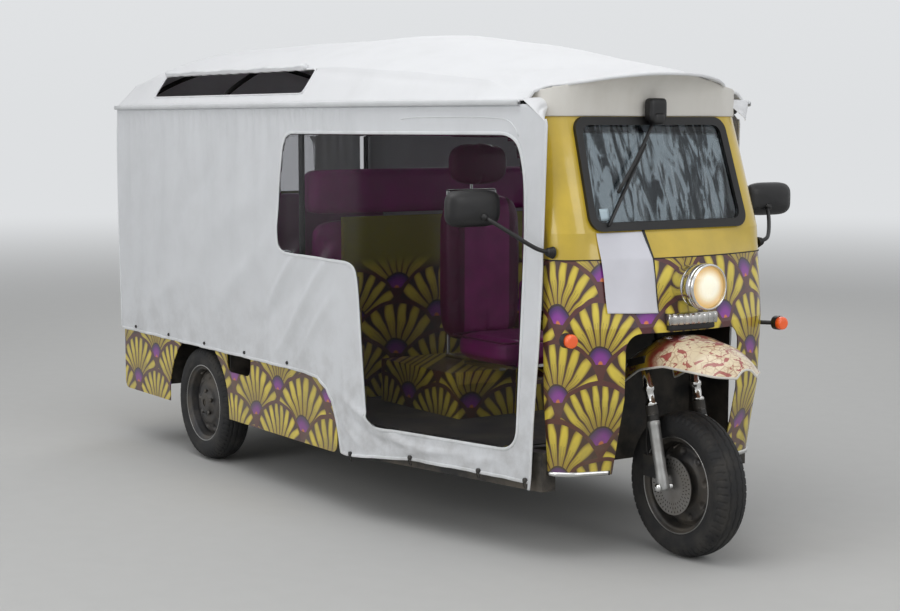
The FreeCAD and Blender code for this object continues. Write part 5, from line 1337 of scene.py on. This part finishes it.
def cut_out(x, z, outline, reach, inner=False):
    """Draws grid points that lie near an outline onto it, and says which faces to keep: those outside it, or
    those within it."""
    gap = np.full(x.shape, 9.0)
    to_x, to_z = x.copy(), z.copy()
    for part in np.array_split(outline, 12):
        far = np.hypot(x[..., None] - part[:, 0], z[..., None] - part[:, 1])
        pick = far.argmin(-1)
        least = far.min(-1)
        closer = least < gap
        gap = np.where(closer, least, gap)
        to_x, to_z = np.where(closer, part[pick, 0], to_x), np.where(closer, part[pick, 1], to_z)
    near = gap < reach
    x, z = np.where(near, to_x, x), np.where(near, to_z, z)
    middle_x = (x[:-1, :-1] + x[1:, :-1] + x[1:, 1:] + x[:-1, 1:]) / 4
    middle_z = (z[:-1, :-1] + z[1:, :-1] + z[1:, 1:] + z[:-1, 1:]) / 4
    within = inside(outline, middle_x, middle_z)
    return x, z, within if inner else ~within


along = np.concatenate([np.linspace(0, 0.474, 118, endpoint=False),
                        np.linspace(0.474, 0.620, 48, endpoint=False),
                        np.linspace(0.620, 0.685, 22, endpoint=False), np.linspace(0.685, 1.0, 116)])[None]
up = np.linspace(0, 1, 128)[:, None]
curtain_cloth = cloth("curtain_canvas", colour(232, 234, 237), colour(204, 206, 208), rough=0.5, soil=0.4,
                      crumple=0.0005,
                      stain=0.16)
binding_cloth = cloth("curtain_binding", colour(240, 242, 244), colour(196, 198, 198), soil=0.35)
tape = np.array([(-0.0065, -0.0018), (-0.0060, 0.0010), (-0.0030, 0.0021), (0.0030, 0.0021),
                 (0.0060, 0.0010), (0.0065, -0.0018), (-0.0065, -0.0018)])
edge_z = np.linspace(0.262, 1.605, 130)
clear_film = clear_sheet("clear_film", colour(200, 200, 202), 0.012, streaks_and_reflection=0.07, ripple=0.0007, index=1.15)

for side, word, drawn in ((-1.0, "right", 0.0), (1.0, "left", 0.172)):
    way_out = (0.1, side, 0.0)
    outline = [(x - drawn * (x > 1.0), z) for x, z in window_points]
    window_line = rounded(outline, 0.085, 0.003)
    flat_x = -1.876 + along * 3.356 + 0 * up
    for _ in range(4):
        hem = np.interp(flat_x, curtain_hem[:, 0], curtain_hem[:, 1])
        flat_z = hem + up * (curtain_high - hem)
        edge = np.interp(flat_z, curtain_front[:, 0], curtain_front[:, 1]) - drawn
        flat_x = -1.876 + along * 3.356 + np.clip((along - 0.80) / 0.20, 0, 1) ** 1.5 * (edge - 1.480)
    flat_x, flat_z, kept = cut_out(flat_x, flat_z, window_line, 0.0058)
    edge_x = np.interp(edge_z, curtain_front[:, 0], curtain_front[:, 1]) - drawn
    hem_x = np.concatenate([np.linspace(1.405 - drawn, 0.38, 110), np.linspace(0.375, 0.25, 40),
                            np.linspace(0.24, -1.872, 180)])
    hem_z = np.interp(hem_x, curtain_hem[:, 0], curtain_hem[:, 1])
    seam_flat = eased([(0.760, 1.606), (0.80, 1.615), (1.225 - drawn, 1.614), (1.300 - drawn, 1.606),
                       (1.335 - drawn, 1.576), (1.350 - drawn, 1.545)], 3)
    sheet = surface("curtain_" + word, hung(flat_x, flat_z, side), keep=kept)
    sheet.modifiers.new("thickness", "SOLIDIFY").thickness = 0.0014
    resting(sheet, "chassis", curtain_cloth, "white_canvas", "side_curtain_" + word)
    lines = [hung(*np.concatenate([window_line[::3], window_line[:4:3]]).T, side, 0.0004)]
    lines.append(hung(edge_x, edge_z, side, 0.0004))
    lines.append(hung(hem_x, hem_z + 0.004, side, 0.0004))
    bead = [ended(carried(tape * (1, 1.4), line, way_out)) for line in lines]
    seam_line = hung(seam_flat[:, 0], seam_flat[:, 1], side, 0.0012)
    bead.append(ended(carried(round_profile(0.0022, 8), seam_line, way_out)))
    rear_z = np.linspace(0.55, 1.655, 60)
    bead.append(ended(carried(round_profile(0.0035, 8), hung(0 * rear_z - 1.874, rear_z, side), way_out)))
    beads = surface("curtain_bindings_" + word, *bead)
    resting(beads, "chassis", binding_cloth, "white_canvas")
    knobs = []
    for x in (1.392 - drawn, 1.165 - drawn, 0.80, 0.45, -0.10, -0.50, -0.90, -1.30, -1.70):
        z = float(np.interp(x, curtain_hem[:, 0], curtain_hem[:, 1])) + (0.010 if x > 0.3 else 0.022)
        spot = hung(np.array([x]), np.array([z]), side, 0.003)[0]
        if x > 0.3:
            knobs.append(turned([(-0.004, 0.0), (-0.004, 0.009), (0.005, 0.010), (0.008, 0.006),
                                 (0.008, 0.0)], spot,
                                (0.1, side, 0), 20))
            cord = spot + np.array([(0.000, 0.003 * side, 0.004), (-0.007, 0.004 * side, -0.010),
                                    (-0.006, 0, -0.026), (0.003, -0.003 * side, -0.034), (0.010, 0, -0.022),
                                    (0.004, 0.004 * side, -0.004)])
            knobs.append(ended(carried(round_profile(0.0024, 8), eased(cord, 3), (0.1, side, 0.1))))
        else:
            knobs.append(turned([(-0.002, 0.0), (-0.002, 0.0075), (0.002, 0.0075), (0.0045, 0.0045),
                                 (0.0045, 0.0)], spot,
                                (0.02, side, 0), 20))
    knobs = surface("curtain_toggles_" + word, *knobs)
    resting(knobs, "chassis", plastic, "black_rubber")

    pane_x, pane_z = np.meshgrid(np.linspace(-0.19, 1.40 - drawn, 107), np.linspace(0.375, 1.568, 81))
    pane_x, pane_z, pane_kept = cut_out(pane_x, pane_z, rounded(outline, 0.085, 0.02), 0.0076, inner=True)
    pane = surface("curtain_window_" + word, hung(pane_x, pane_z, side, -0.0002), keep=pane_kept)
    pane.modifiers.new("thickness", "SOLIDIFY").thickness = 0.0006
    resting(pane, "chassis", clear_film, "clear_plastic", "curtain_windows")


# The rear curtain: canvas from the roof down over the tub, with a clear window and the same bindings.

arc_y, arc_z = roof_skin[0, ::-1, 1], roof_skin[0, ::-1, 2]
back_window = rounded([(-0.42, 1.160), (0.42, 1.160), (0.42, 1.530), (-0.42, 1.530)], 0.075, 0.003)


def back_sheet(y, z, out=0.0):
    """Points of the rear curtain: flat but for soft upright folds beside its window and a wavy hem."""
    calm = np.clip((np.abs(y) - 0.44) / 0.12, 0, 1)
    ripple = 0.0025 * np.sin(y * 19) * np.exp(-((z - 0.965) / 0.08) ** 2)
    slack_out = 0.0045 * calm * np.sin(y * 38 + 3 * z) + ripple
    slack_out = slack_out + 0.004 * np.sin(y * 15 + 1) * np.clip((1.16 - z) / 0.1, 0, 1)
    slack_out = slack_out * np.clip((1.66 - z) / 0.1, 0, 1) * np.clip((0.69 - np.abs(y)) / 0.03, 0, 1)
    return np.stack([-1.8838 - slack_out - 0.009 * np.clip((1.12 - z) / 0.1, 0, 1) - out, y, z], -1)


back_y = np.linspace(-0.696, 0.696, 101)[None] + 0 * up[:101]
back_z = 0.962 + np.linspace(0, 1, 101)[:, None] * (np.interp(back_y, arc_y, arc_z) - 0.004 - 0.962)
back_y, back_z, back_kept = cut_out(back_y, back_z, back_window, 0.0066)
back = surface("rear_curtain_cloth", back_sheet(back_y, back_z), keep=back_kept)
back.modifiers.new("thickness", "SOLIDIFY").thickness = 0.0014
resting(back, "chassis", curtain_cloth, "white_canvas", "rear_curtain")
hem_y = np.linspace(-0.694, 0.694, 90)
side_z = np.linspace(0.965, 1.66, 60)
lines = [back_sheet(*np.concatenate([back_window[::3], back_window[:4:3]]).T, 0.0004),
         back_sheet(hem_y, 0 * hem_y + 0.966),
         back_sheet(0 * side_z - 0.693, side_z), back_sheet(0 * side_z + 0.693, side_z)]
beads = [ended(carried(tape * (1, 1.4), line, (-1.0, 0, 0.01))) for line in lines]
bead = surface("rear_curtain_bindings", *beads)
resting(bead, "chassis", binding_cloth, "white_canvas")
pane_y, pane_z = np.meshgrid(np.linspace(-0.43, 0.43, 58), np.linspace(1.15, 1.54, 27))
pane_y, pane_z, pane_kept = cut_out(pane_y, pane_z, back_window[::6], 0.0076, inner=True)
pane = surface("rear_curtain_window", back_sheet(pane_y, pane_z, -0.0004), keep=pane_kept)
pane.modifiers.new("thickness", "SOLIDIFY").thickness = 0.0006
resting(pane, "chassis", clear_film, "clear_plastic", "rear_window")


# The seats: vinyl-covered foam in magenta. The driver's has a paler middle panel, the benches have upright
# channels, and a padded band tops the panel behind the driver. Each is blown up as cloth from a smaller form.

def filled(name, form, voxel, pressure, cap):
    """The form remeshed and blown up as cloth, with no point moved further than the cap."""
    pad = surface(name, form)
    remesh = pad.modifiers.new("even", "REMESH")
    remesh.mode, remesh.voxel_size = "VOXEL", voxel
    bpy.context.view_layer.update()
    even = bpy.data.meshes.new_from_object(pad.evaluated_get(bpy.context.evaluated_depsgraph_get()))
    pad.modifiers.clear()
    pad.data = even
    start = np.empty(len(even.vertices) * 3, np.float32)
    even.vertices.foreach_get("co", start)
    skin = pad.modifiers.new("skin", "CLOTH")
    skin.settings.use_pressure = True
    skin.settings.uniform_pressure_force = pressure
    skin.settings.effector_weights.gravity = 0.0
    skin.settings.quality = 4
    skin.collision_settings.use_collision = False
    skin.point_cache.frame_start, skin.point_cache.frame_end = 1, 20
    for step in range(1, 21):
        bpy.context.scene.frame_set(step)
    blown = bpy.data.meshes.new_from_object(pad.evaluated_get(bpy.context.evaluated_depsgraph_get()))
    pad.modifiers.clear()
    pad.data = blown
    bpy.context.scene.frame_set(1)
    moved = np.empty(len(blown.vertices) * 3, np.float32)
    blown.vertices.foreach_get("co", moved)
    shift = (moved - start).reshape(-1, 3)
    length = np.linalg.norm(shift, axis=1, keepdims=True)
    shift *= np.minimum(1, cap / np.maximum(length, 1e-9))
    blown.vertices.foreach_set("co", (start.reshape(-1, 3) + shift).ravel())
    mesh = pad.data
    mesh.polygons.foreach_set("use_smooth", np.ones(len(mesh.polygons), bool))
    mesh.update()
    return pad


def reshaped(pad, move):
    """Moves a pad's points: move takes their places and outward ways and gives new places."""
    mesh = pad.data
    spots, ways = np.empty(len(mesh.vertices) * 3, np.float32), np.empty(len(mesh.vertices) * 3, np.float32)
    mesh.vertices.foreach_get("co", spots)
    mesh.vertex_normals.foreach_get("vector", ways)
    mesh.vertices.foreach_set("co", move(spots.reshape(-1, 3).astype(float),
                                         ways.reshape(-1, 3).astype(float)).ravel())
    mesh.update()


def vinyl_sheet(name, base, panel=None):
    """Grained vinyl, a little glossy. Panel gives a second colour its share; on the padded band it is a
    painted highlight.
    """
    def tone(tree, point):
        if panel is None:
            return between(tree, 0.0, base, base)
        share, other = panel(tree, point)
        return between(tree, share, base, other)
    return finish(name, base, 0.34, depth=0.00025, size=0.0028, shade=0.3, soil=0.12, coat=0.15, other=tone)


magenta, pale_magenta, wine = colour(158, 34, 126), colour(184, 56, 146), colour(112, 20, 76)


def band_lit(tree, point):
    """The padded band's upper edge is painted paler: a painted highlight where light falls on its top."""
    height = add(tree, "ShaderNodeSeparateXYZ", {0: point}).outputs[2]
    return stretched(tree, height, 1.385, 1.402), colour(196, 84, 160)


def middle_panel(tree, point):
    """A paler panel down the middle of the driver's back, between two seams."""
    aside = maths(tree, "ABSOLUTE", add(tree, "ShaderNodeSeparateXYZ", {0: point}).outputs[1])
    return stretched(tree, aside, 0.112, 0.118, 1.0, 0.0), pale_magenta


vinyl = vinyl_sheet("magenta_vinyl", magenta)
piping = finish("vinyl_piping", wine, 0.3, depth=0.0001, soil=0.1)


def cushion(name, low, high, power, cap, nodes, channels, body_material=vinyl, voxel=0.007, pressure=4.0):
    """A pad between two corners, started smaller by half the cap each way, blown up, then sewn: channels is
    the move that presses its seams in."""
    low, high = np.array(low, float), np.array(high, float)
    form = rounded_block(low + cap * 0.45, high - cap * 0.45, power, 40, 56)
    pad = filled(name, form, voxel, pressure, cap)
    if channels is not None:
        reshaped(pad, channels)
    spots = np.empty(len(pad.data.vertices) * 3, np.float32)
    pad.data.vertices.foreach_get("co", spots)
    spots = np.clip(spots.reshape(-1, 3), low - 0.002, high + 0.002)
    pad.data.vertices.foreach_set("co", spots.ravel())
    smooth = pad.modifiers.new("smooth", "SUBSURF")
    smooth.levels = smooth.render_levels = 1
    pad.data.materials.clear()
    resting(pad, "chassis", body_material, "magenta_vinyl", *nodes)


def upright_seams(pitch, depth, face, sign, low, high, width=0.006):
    """Seams every pitch across the width, pressed into one face between two heights or stations."""
    def move(spots, ways):
        phase = np.abs(((spots[:, 1] / pitch + 0.5) % 1) - 0.5) * pitch
        axis, other = (0, 2) if face == "front" else (2, 0)
        facing = np.clip(sign * ways[:, axis] * 2 - 0.6, 0, 1)
        span = np.clip((spots[:, other] - low) / 0.02, 0, 1) * np.clip((high - spots[:, other]) / 0.02, 0, 1)
        drop = depth * np.exp(-(phase / width) ** 2) * facing * span
        return spots - ways * drop[:, None]
    return move


cushion("driver_seat_pad", (0.375, -0.21, 0.611), (0.79, 0.21, 0.715), 5.0, 0.010, ["driver_cushion"],
        upright_seams(0.105, 0.006, "top", 1.0, 0.41, 0.77))
cushion("driver_back_pad", (0.2535, -0.205, 0.652), (0.363, 0.205, 1.298), 5.0, 0.012, ["driver_backrest"],
        upright_seams(0.230, 0.007, "front", 1.0, 0.69, 1.27),
        vinyl_sheet("driver_vinyl", wine, middle_panel))
cushion("headrest_pad", (0.2515, -0.148, 1.327), (0.334, 0.148, 1.509), 3.0, 0.008, [], None,
        vinyl_sheet("headrest_vinyl", wine), voxel=0.005)
cushion("facing_bench_pad", (-0.493, -0.608, 0.611), (-0.121, 0.608, 0.715), 9.0, 0.010, ["bench_cushions"],
        upright_seams(0.122, 0.006, "top", 1.0, -0.46, -0.15), voxel=0.009)
cushion("rear_bench_pad", (-1.423, -0.608, 0.611), (-0.917, 0.608, 0.715), 9.0, 0.010, [],
        upright_seams(0.122, 0.006, "top", 1.0, -1.40, -0.95), voxel=0.010)
cushion("facing_bench_back", (-0.1165, -0.608, 0.724), (-0.0455, 0.608, 1.189), 9.0, 0.009,
        ["bench_backrests"],
        upright_seams(0.122, 0.005, "front", -1.0, 0.75, 1.16), voxel=0.009)
cushion("rear_bench_back", (-1.5295, -0.608, 0.724), (-1.4305, 0.608, 1.244), 9.0, 0.010, [],
        upright_seams(0.122, 0.006, "front", 1.0, 0.75, 1.21), voxel=0.010)
# The padded band's paler top edge is a painted highlight.
cushion("padded_band", (-0.0865, -0.663, 1.191), (-0.0115, 0.663, 1.407), 9.0, 0.009, ["bulkhead_pad"],
        None, vinyl_sheet("band_vinyl", magenta, band_lit), voxel=0.009)

ring = rounded([(0.381, -0.203), (0.784, -0.203), (0.784, 0.203), (0.381, 0.203)], 0.05, 0.01)
welts = [carried(round_profile(0.0038, 8), np.concatenate([ring, np.full((len(ring), 1), 0.7075)], 1))]
for x_low, x_high in ((-0.488, -0.126), (-1.418, -0.922)):
    ring = rounded([(x_low, -0.602), (x_high, -0.602), (x_high, 0.602), (x_low, 0.602)], 0.04, 0.01)
    welts.append(carried(round_profile(0.0036, 8),
                         np.concatenate([ring, np.full((len(ring), 1), 0.7095)], 1)))
welts = surface("seat_welts", *welts)
resting(welts, "chassis", piping, "magenta_vinyl")


# Inside the cab: the seat box and the panel behind the driver wear the printed film, the panel's top is plain
# olive, the bench boards are lined in olive cloth, and the dial sits in a dark moulded dash.

def panel_print(tree, point):
    """The print laid flat over the upright panel, fading to plain olive above the seat."""
    parts = add(tree, "ShaderNodeSeparateXYZ", {0: point}).outputs
    flat = add(tree, "ShaderNodeCombineXYZ", {0: parts[1], 1: parts[2]})
    drawn = add(tree, "ShaderNodeGroup", {"Flat": flat.outputs[0]}, node_tree=fans).outputs["Colour"]
    return between(tree, stretched(tree, parts[2], 0.93, 1.02), drawn, colour(150, 142, 34))


dress(finish("panel_film", colour(150, 140, 40), 0.35, other=panel_print, **film), "bulkhead")
dress(printed, "seat_box")
olive = cloth("olive_lining", colour(118, 110, 40), colour(84, 76, 34), rough=0.8, thread=0.003, soil=0.3)
dress(olive, "bench_bases")
dress(chrome, "seat_frame")
dress(plastic, "dashboard")
dial_turn = (-0.040, 0.0, 0.010)
dial = surface("dash_dial", turned([(0.0, 0.0), (0.0005, 0.043), (0.004, 0.0455), (0.006, 0.049),
                                    (0.0, 0.0505), (-0.004, 0.0505)],
                                   (1.3452, 0.0, 1.1725), dial_turn, 48))
resting(dial, "chassis", chrome, "bright_metal")


# The tail lamps: moulded red lenses with an orange upper third, each on a dark base.

lamps, bases = [], []
for side in (-1.0, 1.0):
    lamps.append(rounded_block((-1.921, side * 0.58 - 0.056, 0.726), (-1.885, side * 0.58 + 0.056, 0.894),
                               5.0))
    bases.append(rounded_block((-1.892, side * 0.58 - 0.060, 0.720), (-1.8805, side * 0.58 + 0.060, 0.900),
                               8.0))
material, tree, shader = blank("red_lens")
point, *parts = place(tree)
shade = between(tree, stretched(tree, parts[2], 0.838, 0.842), colour(150, 12, 14), colour(214, 92, 20))
tree.links.new(shade, shader.inputs["Base Color"])
facets = add(tree, "ShaderNodeTexVoronoi", {"Vector": point, "Scale": 150.0})
bumped(tree, shader, facets.outputs["Distance"], 0.0005)
shader.inputs["Roughness"].default_value = 0.22
shader.inputs["Coat Weight"].default_value = 1.0
tail = surface("tail_lamp_lenses", *lamps)
resting(tail, "chassis", material, "red_lamp", "tail_lamps")
bases = surface("tail_lamp_bases", *bases)
resting(bases, "chassis", plastic, "black_plastic")


# The number plate's place on the back: a blank pressed plate with a raised rim.

over, down = np.meshgrid(np.linspace(-0.166, 0.166, 67), np.linspace(0.564, 0.666, 23))
edge = np.minimum(0.166 - np.abs(over), 0.051 - np.abs(down - 0.615))
plate = surface("blank_plate", np.stack([-1.8825 - 0.0018 * np.exp(-((edge - 0.006) / 0.0025) ** 2), over,
                                         down], -1))
plate.modifiers.new("thickness", "SOLIDIFY").thickness = 0.0012
resting(plate, "chassis", finish("plate_paint", colour(226, 226, 222), 0.35, soil=0.4, coat=0.3),
        "white_paper", "number_plate")
